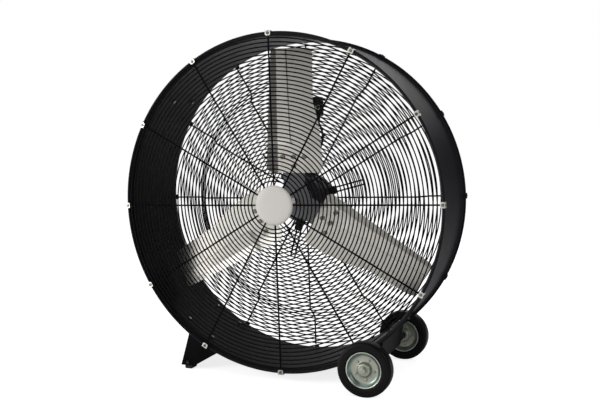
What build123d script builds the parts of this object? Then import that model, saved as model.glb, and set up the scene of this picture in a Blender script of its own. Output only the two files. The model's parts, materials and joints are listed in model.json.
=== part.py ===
"""Portable 36-inch drum fan on two wheels and a foot.

The drum axis runs along Y and the fan blows towards -Y, its front.  +X is to the right and +Z is
up.  The origin lies on the floor under the middle of the drum.  All sizes are in millimetres.
"""

import os
from math import acos, asin, atan2, cos, degrees, hypot, radians, sin, sqrt

from build123d import *

# ---------------------------------------------------------------- driving sizes: drum
DRUM_RADIUS = 488.0  # outside of the barrel
GROUND_CLEARANCE = 35.0  # from the floor to the barrel
DRUM_DEPTH = 298.0  # front rim to rear rim
DRUM_SHEET = 1.6
RIM_HEIGHT = 12.0  # how far the rolled rims stand out from the barrel
BEAD_HALF = 3.5  # half the thickness of the rolled edge
FLARE_LENGTH = 17.0  # axial length of the flare behind the rolled edge

# ---------------------------------------------------------------- driving sizes: guards
SPOKE_COUNT = 12
GUARD_PHASE = 1.0  # degrees by which the guards are clocked from the horizontal
SPOKE_WIRE = 4.0
RING_WIRE = 3.0
RING_PITCH = 11.7  # leaves gaps under 9 mm, as a finger guard must
RING_SIDES = 24
SMALL_RING_SIDES = ((110.0, 12), (220.0, 18))  # rings under these radii need fewer
OUTER_RING_INSET = 8.0  # from the barrel in to the outermost ring
BADGE_RING_GAP = 8.0  # least room between the badge and the front guard's innermost ring
LUG_RING_GAP = 5.0  # least room between the motor's lugs and the rear guard's innermost ring
STEP_INSET = 85.0  # the rear guard starts its step this far in from the barrel
STEP_RUN = 39.0
STEP_DEPTH = 45.0
FRONT_HUB_DISC_RADIUS = 52.0
REAR_HUB_RING_INNER = 78.0
REAR_HUB_RING_OUTER = 82.0
EYE_RADIUS = 6.0  # flattened eye at each spoke's end
CLIP_INSET = 3.0  # from the rolled rims' outside in to the clips' middle
CLIP_WIDTH = 21.0  # along the rim
CLIP_HEIGHT = 16.0  # across the rim
CLIP_SHEET = 1.5
CLIP_REAR_LEG = 9.0  # how far the clip's rear leg comes down behind the rolled edge
CLIP_HEAD_RADIUS = 3.6
CLIP_HEAD_HEIGHT = 2.0
HUB_SHEET = 2.0  # front guard's centre disc
BADGE_RADIUS = 58.0
BADGE_EDGE = 3.5
BADGE_DOME = 3.5
BADGE_SCREW_CIRCLE = 30.0
BADGE_SCREW_RADIUS = 2.0

# ---------------------------------------------------------------- driving sizes: rotor
BLADE_COUNT = 3
BLADE_SHEET = 1.5
BLADE_TIP_GAP = 26.0  # from the blades' tips to the outside of the barrel
BLADE_ROOT_RADIUS = 85.0
BLADE_FLAT_RADIUS = 150.0  # the blade lies flat on its arm up to here
ROOT_LEADING = 97.0  # half chords: leading edge, bend and trailing edge, at root and tip
ROOT_BEND = 52.0
ROOT_TRAILING = 85.0
TIP_LEADING = 61.0
TIP_BEND = 47.0
TIP_TRAILING = 62.0
TIP_PITCH_RISE = 27.0  # the tip's leading edge stands this far behind the bend
ROOT_STRIP_RISE = 18.0  # the bent strip's reach forward at the root
TIP_STRIP_RISE = 8.0
SHOULDER_START = 140.0  # the leading edge narrows between these distances from the root
SHOULDER_END = 215.0
SHOULDER_LEADING = 64.0
SPIDER_FRONT_Y = 4.0  # plane on which the blades are bolted
SPIDER_SHEET = 4.0
SPIDER_DISC_RADIUS = 57.0
SPIDER_ARM_WIDTH = 70.0
SPIDER_ARM_RADIUS = 156.0
SPIDER_HEAD_WIDTH = 95.0  # the arms widen to this under the row of three bolts
SPIDER_HEAD_LENGTH = 42.0
BLADE_BOLT_RADIUS = 4.0
BLADE_BOLT_ROW = 133.5  # radius of the row of three
BLADE_BOLT_PITCH = 35.5
BLADE_BOLT_INNER = 104.5
HUB_FLANGE_RADIUS = 38.0
HUB_FLANGE = 8.0
HUB_BARREL_RADIUS = 21.0
HUB_LENGTH = 28.0
HUB_BOLT_CIRCLE = 28.5
HUB_BOLT_RADIUS = 3.5
HUB_BOLT_COUNT = 3
HUB_BOLT_START = 90.0  # degrees
SHAFT_RADIUS = 8.0
SHAFT_NOSE = 8.0  # how far the shaft stands out in front of the spider
BLADE_ROOT_CORNER = 25.0
BLADE_TIP_CORNER = 8.0
BLADE_TIP_LEAD_CORNER = 17.0
SPIDER_CORNER = 15.0
SPIDER_NOTCH = 4.0

# ---------------------------------------------------------------- driving sizes: motor
MOTOR_RADIUS = 71.0
MOTOR_WALL = 3.0
MOTOR_MID_Y = 110.0
CASING_HALF = 48.0  # half the length of the tube between the end bells
ENDBELL_LENGTH = 12.0
ENDBELL_BOSS = 6.0
STATOR_BORE = 40.0
STATOR_HALF = 30.0
WINDING_LENGTH = 9.0
BEARING_RADIUS = 20.0
BEARING_WIDTH = 12.0
BEARING_BOSS_RADIUS = 26.0
SPIGOT_LENGTH = 6.0
ENDBELL_SCREW_COUNT = 3
ENDBELL_SCREW_RADIUS = 2.0
ENDBELL_SCREW_START = 30.0  # degrees
ENDBELL_SCREW_LENGTH = 7.5
ROTOR_AIR_GAP = 0.7
SHAFT_HOLE = 9.0
LUG_RADIUS = 95.0
LUG_ANGLES = (15.0, 135.0, 255.0)
LUG_BOLT_RADIUS = 4.0
DAMPER_RADIUS = 11.0
DAMPER_NECK = 7.0
DAMPER_FLANGE = 4.0
BAND_SHEET = 2.6
BAND_WIDTH = 10.0
EAR_SHEET = 3.0
EAR_WIDTH = 26.0
EAR_RADIUS = 108.0
TAB_WIDTH = 18.0
TAB_HALF = 7.0
ROD_SPACING = 14.0
ROD_OUTER_RADIUS = 200.0
TERMINAL_BOX_WIDTH = 42.0
TERMINAL_BOX_LENGTH = 40.0
TERMINAL_BOX_TOP = 79.0  # above the hub axis
TERMINAL_BOX_START = 113.0  # front wall of the box
TERMINAL_WALL = 2.0
TERMINAL_GLAND_X = 10.0

# ---------------------------------------------------------------- driving sizes: switch
SWITCH_BOX_X = 12.5
SWITCH_BOX_Z = 286.0  # above the hub axis
SWITCH_BOX_WIDTH = 75.0
SWITCH_BOX_HEIGHT = 62.0
SWITCH_BOX_DEPTH = 30.0
SWITCH_BOX_WALL = 2.5
SWITCH_BOX_CORNER = 6.0
SWITCH_SCREW_HALF = 31.0
SWITCH_SCREW_RADIUS = 2.0
SWITCH_GAP_RING = 16  # the screws pass between this ring of the rear guard and the next one in
WASHER_RADIUS = 9.0
WASHER_SHEET = 1.5
COVER_SCREW_INSET = 7.0
COVER_SCREW_RADIUS = 1.75
COVER_SCREW_LENGTH = 10.0
SWITCH_BODY_RADIUS = 14.0
SWITCH_BODY_LENGTH = 22.0
SWITCH_NECK_RADIUS = 5.0
SWITCH_NECK_LENGTH = 4.5
SWITCH_NUT_RADIUS = 8.0
SWITCH_NUT_HEIGHT = 3.0
SPINDLE_RADIUS = 3.0
SPINDLE_LENGTH = 12.0
KNOB_RADIUS = 17.0
KNOB_HEIGHT = 16.0
KNOB_BASE = 5.0
KNOB_BAR = 9.0
LEAD_RADIUS = 3.5
LEAD_BEND = 24.0
LEAD_STRAIGHT = 4.0  # how far the lead leaves a gland straight
GLAND_RADIUS = 7.5
GLAND_LENGTH = 12.0
GLAND_Y = 121.0
LEAD_GLAND_X = 38.0
POWER_GLAND_X = -5.0
TIE_WIDTH = 3.0
TIE_SHEET = 1.2
TIE_HALF = 8.0  # half the loop's length, measured aslant across the lead

# ---------------------------------------------------------------- driving sizes: carriage
BRACKET_SHEET = 2.5
BRACKET_HALF = 113.0  # half the length of the foot and the axle bracket along Y
BRACKET_BOLT_Y = 98.0
BRACKET_BOLT_RADIUS = 3.0
FOOT_LEFT_TOP = -128.6  # degrees on the drum where the foot's webs start
FOOT_RIGHT_TOP = -122.4
FOOT_FLANGE = 5.0  # degrees of drum that each flange covers
FOOT_BOTTOM_Z = 14.0
FOOT_BOTTOM_LEFT = -21.0  # from the pads' middle
FOOT_BOTTOM_RIGHT = 20.0
PAD_WIDTH = 24.0
PAD_LENGTH = 32.0
PAD_HEIGHT = 34.0
FOOT_SPLAY = 38.6  # how far the pads stand out past the middle of the webs' tops
PAD_BOLT_Z = 21.0
PAD_BOLT_LENGTH = 22.0
PAD_BOLT_RADIUS = 3.0
WHEEL_RADIUS = 78.0
WHEEL_WIDTH = 40.0
WHEEL_MID_Y = 207.0
AXLE_STAND_OFF = 41.52  # from the barrel to the axle's middle
AXLE_RADIUS = 6.0
AXLE_EYE_RADIUS = 15.0
AXLE_LEFT_TOP = -3.8  # degrees from the axle's own direction to the tops of its bracket's webs
AXLE_RIGHT_TOP = 6.7
RIM_LIP_RADIUS = 52.0
RIM_DISC_RADIUS = 38.0
RIM_SHEET = 2.0
RIVET_CIRCLE = 29.5
RIVET_COUNT = 5
RIVET_RADIUS = 3.0
WHEEL_HUB_RADIUS = 17.0  # hole in the middle of the rim
RIVET_HEAD_RADIUS = 5.0
RIVET_HEAD_HEIGHT = 1.6
DISH_DEPTH = 12.0  # the rim's dish lies this far inside its lip
DISH_FLOOR = 7.0  # from the wheel's middle to the outside of the dish's floor
DISH_FLOOR_RADIUS = 24.0
TYRE_BASE_RADIUS = 44.0
TYRE_BASE_HALF = 9.5
TYRE_SHOULDER_RADIUS = 70.0
TYRE_TREAD_HALF = 13.0
SPACER_RADIUS = 9.0
AXLE_NUT_RADIUS = 10.0
AXLE_NUT_HEIGHT = 6.0
AXLE_WASHER_RADIUS = 12.0
AXLE_WASHER_SHEET = 1.5
AXLE_END = 2.0  # how far the axle stands out of its nuts
HANDLE_ANGLE = 140.3
HANDLE_PITCH = 117.0
HANDLE_HEIGHT = 34.0
HANDLE_GRIP_RADIUS = 6.0
HANDLE_BEND = 14.0
HANDLE_FOOT_RADIUS = 13.0
HANDLE_FOOT_HEIGHT = 3.0
HANDLE_BOLT_LENGTH = 14.0
HEX_CORNER = 1.85  # a hexagon's corner radius and its height, as multiples of the thread's radius
HEX_HEIGHT = 1.3
BOLT_END = 1.5  # nut and free end of a through bolt, in heights of its nut

# ---------------------------------------------------------------- clearances
SEAT_GAP = 0.2  # between pieces of one body that seat on a round face
RUNNING_GAP = 0.05  # radial, between a shaft and what it turns in
FACE_GAP = 0.3  # between faces of different bodies, and of moulded pieces

# ---------------------------------------------------------------- derived places
HUB_HEIGHT = DRUM_RADIUS + GROUND_CLEARANCE  # floor to drum axis
RIM_RADIUS = DRUM_RADIUS + RIM_HEIGHT
OUTER_RING_RADIUS = DRUM_RADIUS - OUTER_RING_INSET
FRONT_RING_COUNT = int((OUTER_RING_RADIUS - BADGE_RADIUS - BADGE_RING_GAP) / RING_PITCH) + 1
REAR_RING_COUNT = int((OUTER_RING_RADIUS - EAR_RADIUS - LUG_RING_GAP) / RING_PITCH) + 1
STEP_OUTER_RADIUS = DRUM_RADIUS - STEP_INSET  # the rear guard steps in between these two radii
STEP_INNER_RADIUS = STEP_OUTER_RADIUS - STEP_RUN
CLIP_CENTRE_RADIUS = RIM_RADIUS - CLIP_INSET
BLADE_TIP_RADIUS = DRUM_RADIUS - BLADE_TIP_GAP
FRONT_RIM_Y = -DRUM_DEPTH / 2
REAR_RIM_Y = DRUM_DEPTH / 2
FRONT_SPOKE_Y = FRONT_RIM_Y - SPOKE_WIRE  # front faces of the front spokes
REAR_SPOKE_Y = REAR_RIM_Y + SPOKE_WIRE  # rear faces of the rear spokes' outer part
INNER_SPOKE_Y = REAR_SPOKE_Y - STEP_DEPTH  # rear faces of their inner part
INNER_GUARD_Y = INNER_SPOKE_Y + RING_WIRE  # rear of the rings on the inner part
SPIDER_REAR_Y = SPIDER_FRONT_Y + SPIDER_SHEET
HUB_REAR_Y = SPIDER_REAR_Y + HUB_LENGTH
AXLE_Z = WHEEL_RADIUS
AXLE_X = sqrt((DRUM_RADIUS + AXLE_STAND_OFF) ** 2 - (HUB_HEIGHT - AXLE_Z) ** 2)
AXLE_ANGLE = -degrees(asin((HUB_HEIGHT - AXLE_Z) / (DRUM_RADIUS + AXLE_STAND_OFF)))
axle_left_angle = AXLE_ANGLE + AXLE_LEFT_TOP  # on the drum, where the webs of its bracket start
axle_right_angle = AXLE_ANGLE + AXLE_RIGHT_TOP
PAD_X = DRUM_RADIUS * cos(radians((FOOT_LEFT_TOP + FOOT_RIGHT_TOP) / 2)) - FOOT_SPLAY
DRUM_INNER = DRUM_RADIUS - DRUM_SHEET
SEAT_RADIUS = DRUM_RADIUS + SEAT_GAP  # on which the brackets sit
HUB_AXIS = Axis((0, 0, HUB_HEIGHT), (0, 1, 0))
PROFILE = Plane(origin=(0, 0, HUB_HEIGHT), x_dir=(0, 1, 0), z_dir=(1, 0, 0))


def across(y, x=0.0, z=HUB_HEIGHT):
    """Plane at y that faces the front, with X to the right and Z up."""
    return Plane(origin=(x, y, z), x_dir=(1, 0, 0), z_dir=(0, -1, 0))


def on_drum(angle, y, radius=DRUM_RADIUS):
    """Plane on the drum at an angle seen from the front, with its normal pointing outwards."""
    out = (cos(radians(angle)), 0, sin(radians(angle)))
    place = (radius * out[0], y, HUB_HEIGHT + radius * out[2])
    return Plane(origin=place, x_dir=(0, 1, 0), z_dir=out)


def drum_point(angle, radius=DRUM_RADIUS):
    """X and Z (from the hub) of a point at an angle and radius about the hub."""
    return (radius * cos(radians(angle)), radius * sin(radians(angle)))


def radial(angle):
    """Plane through the hub axis at an angle, with its X outwards and its Y to the rear."""
    out = (cos(radians(angle)), 0, sin(radians(angle)))
    around = (-sin(radians(angle)), 0, cos(radians(angle)))
    return Plane(origin=(0, 0, HUB_HEIGHT), x_dir=out, z_dir=around)


def turned(angle, y):
    """Plane at y that faces the front, with its X pointing outwards at an angle."""
    out = (cos(radians(angle)), 0, sin(radians(angle)))
    return Plane(origin=(0, y, HUB_HEIGHT), x_dir=out, z_dir=(0, -1, 0))


def bolt_circle(radius, count, start, y):
    """Planes that face the front at y, spread evenly on a circle about the hub axis."""
    angles = [start + 360 / count * step for step in range(count)]
    return [across(y, radius * cos(radians(a)), HUB_HEIGHT + radius * sin(radians(a))) for a in angles]


def add_bolts(planes, radius, length, grip=0.0):
    """Add hexagon bolts to the open part, with their heads on the planes and their nuts past a grip."""
    height = HEX_HEIGHT * radius
    with BuildSketch(*planes) as heads:
        RegularPolygon(HEX_CORNER * radius, 6)
    extrude(heads.sketch, amount=height)
    with BuildSketch(*planes) as shanks:
        Circle(radius)
    extrude(shanks.sketch, amount=-length)
    if grip:
        with BuildSketch(*[plane.offset(-grip) for plane in planes]) as nuts:
            RegularPolygon(HEX_CORNER * radius, 6)
            Circle(radius + SEAT_GAP, mode=Mode.SUBTRACT)
        extrude(nuts.sketch, amount=-height)


def cut_holes(planes, radius, depth):
    """Cut round holes into the open part, centred on the planes and that deep to both sides."""
    with BuildSketch(*planes) as holes:
        Circle(radius)
    extrude(holes.sketch, amount=depth, both=True, mode=Mode.SUBTRACT)


def bolt_length(radius, grip):
    """Length of a bolt that holds a grip and stands a little out of its nut."""
    return grip + BOLT_END * HEX_HEIGHT * radius


def bracket_bolts_at(angles, radius=DRUM_RADIUS):
    """Planes on a bracket's bolts at given angles, facing outwards at a radius."""
    return [on_drum(angle, y, radius) for angle in angles for y in (-BRACKET_BOLT_Y, BRACKET_BOLT_Y)]


def inward(planes):
    """The same planes turned over, so that their normals point the other way."""
    return [Plane(origin=p.origin, x_dir=p.x_dir, z_dir=-p.z_dir) for p in planes]


def save(builder, name):
    """Label a finished piece and write its STEP file."""
    builder.part.label = name
    export_step(builder.part, f"parts/{name}.step")


os.makedirs("parts", exist_ok=True)

# ================================================================ drum
handle_ends = (-HANDLE_PITCH / 2, HANDLE_PITCH / 2)  # along the drum
foot_bolt_angles = (FOOT_LEFT_TOP - FOOT_FLANGE / 2, FOOT_RIGHT_TOP + FOOT_FLANGE / 2)
axle_bolt_angles = (axle_left_angle - FOOT_FLANGE / 2, axle_right_angle + FOOT_FLANGE / 2)

bead_vertex = BEAD_HALF / cos(radians(30))
bead_centre = RIM_RADIUS - bead_vertex
with BuildPart() as drum_shell:
    with BuildSketch(PROFILE):
        with BuildLine():
            Polyline(
                (FRONT_RIM_Y + BEAD_HALF, bead_centre),
                (FRONT_RIM_Y + 2 * BEAD_HALF + FLARE_LENGTH, DRUM_RADIUS),
                (REAR_RIM_Y - 2 * BEAD_HALF - FLARE_LENGTH, DRUM_RADIUS),
                (REAR_RIM_Y - BEAD_HALF, bead_centre),
            )
            offset(amount=DRUM_SHEET, side=Side.RIGHT, closed=True)
        make_face()
        with Locations(
            (FRONT_RIM_Y + BEAD_HALF, bead_centre), (REAR_RIM_Y - BEAD_HALF, bead_centre)
        ):
            RegularPolygon(BEAD_HALF, 6, major_radius=False, rotation=30)
    revolve(axis=HUB_AXIS)
    bolt_planes = [on_drum(HANDLE_ANGLE, y) for y in handle_ends]
    bolt_planes += bracket_bolts_at(foot_bolt_angles + axle_bolt_angles)
    with Locations(*bolt_planes):
        Hole(BRACKET_BOLT_RADIUS + SEAT_GAP, depth=3 * DRUM_SHEET)
save(drum_shell, "drum_shell")

# ================================================================ guards
spoke_angles = [GUARD_PHASE + 360 / SPOKE_COUNT * step for step in range(SPOKE_COUNT)]
badge_screws_at = bolt_circle(BADGE_SCREW_CIRCLE, 2, 0, FRONT_SPOKE_Y + HUB_SHEET)
badge_screw_planes = inward(badge_screws_at)
front_spoke_start = FRONT_HUB_DISC_RADIUS - 2 * SPOKE_WIRE

with BuildPart() as front_grille_spokes:
    with BuildSketch(across(FRONT_RIM_Y)):
        spoke_length = CLIP_CENTRE_RADIUS - front_spoke_start
        with PolarLocations(front_spoke_start + spoke_length / 2, SPOKE_COUNT, start_angle=GUARD_PHASE):
            Rectangle(spoke_length, SPOKE_WIRE)
        with PolarLocations(CLIP_CENTRE_RADIUS, SPOKE_COUNT, start_angle=GUARD_PHASE):
            Circle(EYE_RADIUS)
    extrude(amount=SPOKE_WIRE)
    with BuildSketch(across(FRONT_SPOKE_Y)):
        Circle(FRONT_HUB_DISC_RADIUS)
    extrude(amount=-HUB_SHEET)
    cut_holes(badge_screws_at, BADGE_SCREW_RADIUS + SEAT_GAP, HUB_SHEET)
save(front_grille_spokes, "front_grille_spokes")


def ring_corners(radius):
    """Number of a guard ring's corners and their radius, which leaves its sides evenly about its own."""
    sides = next((count for limit, count in SMALL_RING_SIDES if radius < limit), RING_SIDES)
    return sides, 2 * radius / (1 + cos(radians(180 / sides)))


def draw_ring(radius):
    """Draw one guard ring in the open sketch."""
    sides, corner_radius = ring_corners(radius)
    RegularPolygon(corner_radius + RING_WIRE / 2, sides, rotation=GUARD_PHASE)
    RegularPolygon(corner_radius - RING_WIRE / 2, sides, rotation=GUARD_PHASE, mode=Mode.SUBTRACT)


def rear_ring_y(radius):
    """Y of the rear guard's spokes where a ring crosses them."""
    slope = STEP_DEPTH / (STEP_OUTER_RADIUS - STEP_INNER_RADIUS)
    reach = ring_corners(radius)[1] + RING_WIRE / 2
    climb = INNER_SPOKE_Y + (reach - STEP_INNER_RADIUS) * slope + RUNNING_GAP
    return min(REAR_SPOKE_Y, max(INNER_SPOKE_Y, climb))


with BuildPart() as front_grille_rings:
    for number in range(FRONT_RING_COUNT):
        with BuildSketch(across(FRONT_SPOKE_Y)):
            draw_ring(OUTER_RING_RADIUS - number * RING_PITCH)
    extrude(amount=RING_WIRE)
save(front_grille_rings, "front_grille_rings")

with BuildPart() as rear_grille_rings:
    for number in range(REAR_RING_COUNT):
        ring_radius = OUTER_RING_RADIUS - number * RING_PITCH
        with BuildSketch(across(rear_ring_y(ring_radius) + RING_WIRE)):
            draw_ring(ring_radius)
    extrude(amount=RING_WIRE)
save(rear_grille_rings, "rear_grille_rings")

with BuildPart() as rear_grille_spokes:
    with BuildSketch(*[radial(angle) for angle in spoke_angles]):
        with BuildLine():
            Polyline(
                (CLIP_CENTRE_RADIUS, REAR_SPOKE_Y),
                (STEP_OUTER_RADIUS, REAR_SPOKE_Y),
                (STEP_INNER_RADIUS, INNER_SPOKE_Y),
                ((REAR_HUB_RING_INNER + REAR_HUB_RING_OUTER) / 2, INNER_SPOKE_Y),
            )
            offset(amount=SPOKE_WIRE, side=Side.LEFT, closed=True, kind=Kind.INTERSECTION)
        make_face()
    extrude(amount=SPOKE_WIRE / 2, both=True)
    with BuildSketch(across(REAR_SPOKE_Y)):
        with PolarLocations(CLIP_CENTRE_RADIUS, SPOKE_COUNT, start_angle=GUARD_PHASE):
            Circle(EYE_RADIUS)
    extrude(amount=SPOKE_WIRE)
    with BuildSketch(across(INNER_SPOKE_Y)):
        Circle(REAR_HUB_RING_OUTER)
        Circle(REAR_HUB_RING_INNER, mode=Mode.SUBTRACT)
    extrude(amount=SPOKE_WIRE)
save(rear_grille_spokes, "rear_grille_spokes")


def clip_set(spoke_y, toward_rim):
    """Twelve clips that wrap over the rolled edge, each with its screw's head, on one guard."""
    low = CLIP_CENTRE_RADIUS - CLIP_HEIGHT / 2
    web = CLIP_CENTRE_RADIUS + CLIP_HEIGHT / 2 - CLIP_SHEET
    back = spoke_y + toward_rim * (SPOKE_WIRE + 2 * BEAD_HALF + FACE_GAP)
    outer = Side.RIGHT if toward_rim > 0 else Side.LEFT
    leg_face = spoke_y - toward_rim * CLIP_SHEET
    with BuildPart() as clips:
        with BuildSketch(*[radial(angle) for angle in spoke_angles]):
            with BuildLine():
                Polyline((low, spoke_y), (web, spoke_y), (web, back), (web - CLIP_REAR_LEG, back))
                offset(amount=CLIP_SHEET, side=outer, closed=True, kind=Kind.INTERSECTION)
            make_face()
        extrude(amount=CLIP_WIDTH / 2, both=True)
        with BuildSketch(across(leg_face)):
            with PolarLocations(CLIP_CENTRE_RADIUS - CLIP_SHEET, SPOKE_COUNT, start_angle=GUARD_PHASE):
                RegularPolygon(CLIP_HEAD_RADIUS, 6)
        extrude(amount=toward_rim * CLIP_HEAD_HEIGHT)
    return clips


front_clips = clip_set(FRONT_SPOKE_Y, 1)
save(front_clips, "front_clips")
rear_clips = clip_set(REAR_SPOKE_Y, -1)
save(rear_clips, "rear_clips")

with BuildPart() as center_badge:
    with BuildSketch(PROFILE):
        dome_radius = (BADGE_RADIUS**2 + BADGE_DOME**2) / (2 * BADGE_DOME)
        badge_front = FRONT_SPOKE_Y - BADGE_EDGE - BADGE_DOME
        with BuildLine():
            Polyline(
                (badge_front, 0),
                (FRONT_SPOKE_Y, 0),
                (FRONT_SPOKE_Y, BADGE_RADIUS),
                (FRONT_SPOKE_Y - BADGE_EDGE, BADGE_RADIUS),
            )
            JernArc((badge_front, 0), (0, 1), dome_radius, -degrees(asin(BADGE_RADIUS / dome_radius)))
        make_face()
    revolve(axis=HUB_AXIS)
    cut_holes([p.offset(HUB_SHEET) for p in badge_screws_at], BADGE_SCREW_RADIUS + SEAT_GAP, BADGE_EDGE)
save(center_badge, "center_badge")

with BuildPart() as badge_screws:
    add_bolts(badge_screw_planes, BADGE_SCREW_RADIUS, HUB_SHEET + BADGE_EDGE - SEAT_GAP)
save(badge_screws, "badge_screws")

# ================================================================ motor mount
rods_front = INNER_SPOKE_Y - SPOKE_WIRE
ear_rear = rods_front - DAMPER_FLANGE
ear_front = ear_rear - EAR_SHEET
damper_front = ear_front - DAMPER_FLANGE


def lug_planes(y):
    """Planes that face the front at y, one on each of the motor's mounting bolts."""
    return bolt_circle(LUG_RADIUS, len(LUG_ANGLES), LUG_ANGLES[0], y)


with BuildPart() as mount_rods:
    with BuildSketch(*[turned(angle, INNER_SPOKE_Y) for angle in LUG_ANGLES]):
        rod_start = REAR_HUB_RING_OUTER + FACE_GAP
        rod_length = ROD_OUTER_RADIUS - rod_start
        rod_middle = rod_start + rod_length / 2
        with Locations((rod_middle, ROD_SPACING / 2), (rod_middle, -ROD_SPACING / 2)):
            Rectangle(rod_length, SPOKE_WIRE)
    extrude(amount=SPOKE_WIRE)
    with BuildSketch(*[turned(angle, INNER_GUARD_Y) for angle in LUG_ANGLES]):
        with Locations((LUG_RADIUS, 0)):
            Rectangle(2 * TAB_HALF, TAB_WIDTH)
            Circle(LUG_BOLT_RADIUS + SEAT_GAP, mode=Mode.SUBTRACT)
    extrude(amount=RING_WIRE)
save(mount_rods, "mount_rods")

with BuildPart() as motor_mount_band:
    with BuildSketch(across(rods_front)):
        Circle(MOTOR_RADIUS + SEAT_GAP + BAND_SHEET)
    extrude(amount=BAND_WIDTH)
    with BuildSketch(*[turned(angle, ear_rear) for angle in LUG_ANGLES]):
        with Locations((EAR_RADIUS / 2, 0)):
            RectangleRounded(EAR_RADIUS, EAR_WIDTH, EAR_WIDTH / 4)
    extrude(amount=EAR_SHEET)
    with BuildSketch(across(rods_front)):
        Circle(MOTOR_RADIUS + SEAT_GAP)
    extrude(amount=BAND_WIDTH, mode=Mode.SUBTRACT)
    cut_holes(lug_planes(ear_rear), DAMPER_NECK + SEAT_GAP, EAR_SHEET)
save(motor_mount_band, "motor_mount_band")

with BuildPart() as mount_dampers:
    with BuildSketch(*lug_planes(rods_front), *lug_planes(ear_front)):
        Circle(DAMPER_RADIUS)
    extrude(amount=DAMPER_FLANGE)
    with BuildSketch(*lug_planes(ear_rear)):
        Circle(DAMPER_NECK)
    extrude(amount=EAR_SHEET)
    cut_holes(lug_planes(ear_rear), LUG_BOLT_RADIUS + SEAT_GAP, 3 * DAMPER_FLANGE)
save(mount_dampers, "mount_dampers")

mount_grip = INNER_GUARD_Y - damper_front
with BuildPart() as mount_bolts:
    mount_bolt_length = mount_grip + HEX_HEIGHT * LUG_BOLT_RADIUS + WASHER_SHEET
    add_bolts(lug_planes(damper_front), LUG_BOLT_RADIUS, mount_bolt_length, mount_grip)
save(mount_bolts, "mount_bolts")

# ================================================================ motor
casing_inner = MOTOR_RADIUS - MOTOR_WALL
casing_front = MOTOR_MID_Y - CASING_HALF
casing_rear = MOTOR_MID_Y + CASING_HALF
bearing_front_y = casing_front - ENDBELL_LENGTH - ENDBELL_BOSS / 2  # front face of the front bearing
bearing_rear_y = casing_rear + ENDBELL_LENGTH + ENDBELL_BOSS / 2 - BEARING_WIDTH
endbell_screw_angles = [
    ENDBELL_SCREW_START + 360 / ENDBELL_SCREW_COUNT * step for step in range(ENDBELL_SCREW_COUNT)
]


def ring_solid(inner, outer, y, length):
    """Part with one plain ring about the hub axis, from y rearwards."""
    with BuildPart() as ring:
        with BuildSketch(across(y + length)):
            Circle(outer)
            Circle(inner, mode=Mode.SUBTRACT)
        extrude(amount=length)
    return ring


def endbell_screw_planes(y, radius=MOTOR_RADIUS):
    """Planes on the casing at y, facing outwards, one at each end bell screw."""
    return [on_drum(angle, y, radius) for angle in endbell_screw_angles]


front_screw_y = casing_front + SPIGOT_LENGTH / 2
rear_screw_y = casing_rear - SPIGOT_LENGTH / 2
terminal_depth = TERMINAL_BOX_START + TERMINAL_BOX_LENGTH
casing_screws_at = endbell_screw_planes(front_screw_y) + endbell_screw_planes(rear_screw_y)

motor_casing = ring_solid(casing_inner, MOTOR_RADIUS, casing_front, 2 * CASING_HALF)
with motor_casing:
    cut_holes(casing_screws_at, ENDBELL_SCREW_RADIUS + SEAT_GAP, 1.5 * MOTOR_WALL)
save(motor_casing, "motor_casing")


def endbell(joint_y, rearwards):
    """End bell that seats on the casing at joint_y, with its boss, spigot and bearing seat."""
    outer_y = joint_y + rearwards * ENDBELL_LENGTH
    boss_y = outer_y + rearwards * ENDBELL_BOSS
    seat_y = boss_y - rearwards * ENDBELL_BOSS / 2
    spigot_y = joint_y - rearwards * SPIGOT_LENGTH
    with BuildPart() as bell:
        with BuildSketch(PROFILE):
            with BuildLine():
                Polyline(
                    (boss_y, 0),
                    (boss_y, BEARING_BOSS_RADIUS),
                    (outer_y, BEARING_BOSS_RADIUS + ENDBELL_BOSS / 2),
                    (outer_y, MOTOR_RADIUS - ENDBELL_BOSS),
                    (outer_y - rearwards * ENDBELL_BOSS, MOTOR_RADIUS),
                    (joint_y, MOTOR_RADIUS),
                    (joint_y, casing_inner - SEAT_GAP),
                    (spigot_y, casing_inner - SEAT_GAP),
                    (spigot_y, 0),
                    close=True,
                )
            make_face()
        revolve(axis=HUB_AXIS)
        with BuildSketch(across(spigot_y)):
            Circle(BEARING_RADIUS + SEAT_GAP)
        extrude(amount=-rearwards * abs(seat_y - spigot_y), mode=Mode.SUBTRACT)
        screws_y = joint_y - rearwards * SPIGOT_LENGTH / 2
        cut_holes(endbell_screw_planes(screws_y), ENDBELL_SCREW_RADIUS + SEAT_GAP, 3 * MOTOR_WALL)
    return bell


motor_front_endbell = endbell(casing_front, -1)
with motor_front_endbell:
    cut_holes([across(casing_front)], SHAFT_HOLE, 2 * ENDBELL_LENGTH)
save(motor_front_endbell, "motor_front_endbell")
motor_rear_endbell = endbell(casing_rear, 1)
save(motor_rear_endbell, "motor_rear_endbell")

with BuildPart() as endbell_screws:
    add_bolts(casing_screws_at, ENDBELL_SCREW_RADIUS, ENDBELL_SCREW_LENGTH)
save(endbell_screws, "endbell_screws")

stator_core = ring_solid(STATOR_BORE, casing_inner - SEAT_GAP, MOTOR_MID_Y - STATOR_HALF, 2 * STATOR_HALF)
save(stator_core, "stator_core")

winding_outer = casing_inner - MOTOR_WALL
winding_inner = STATOR_BORE + MOTOR_WALL
with BuildPart() as stator_windings:
    winding_planes = (across(MOTOR_MID_Y - STATOR_HALF), across(MOTOR_MID_Y + STATOR_HALF + WINDING_LENGTH))
    with BuildSketch(*winding_planes):
        Circle(winding_outer)
        Circle(winding_inner, mode=Mode.SUBTRACT)
    extrude(amount=WINDING_LENGTH)
save(stator_windings, "stator_windings")

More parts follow.
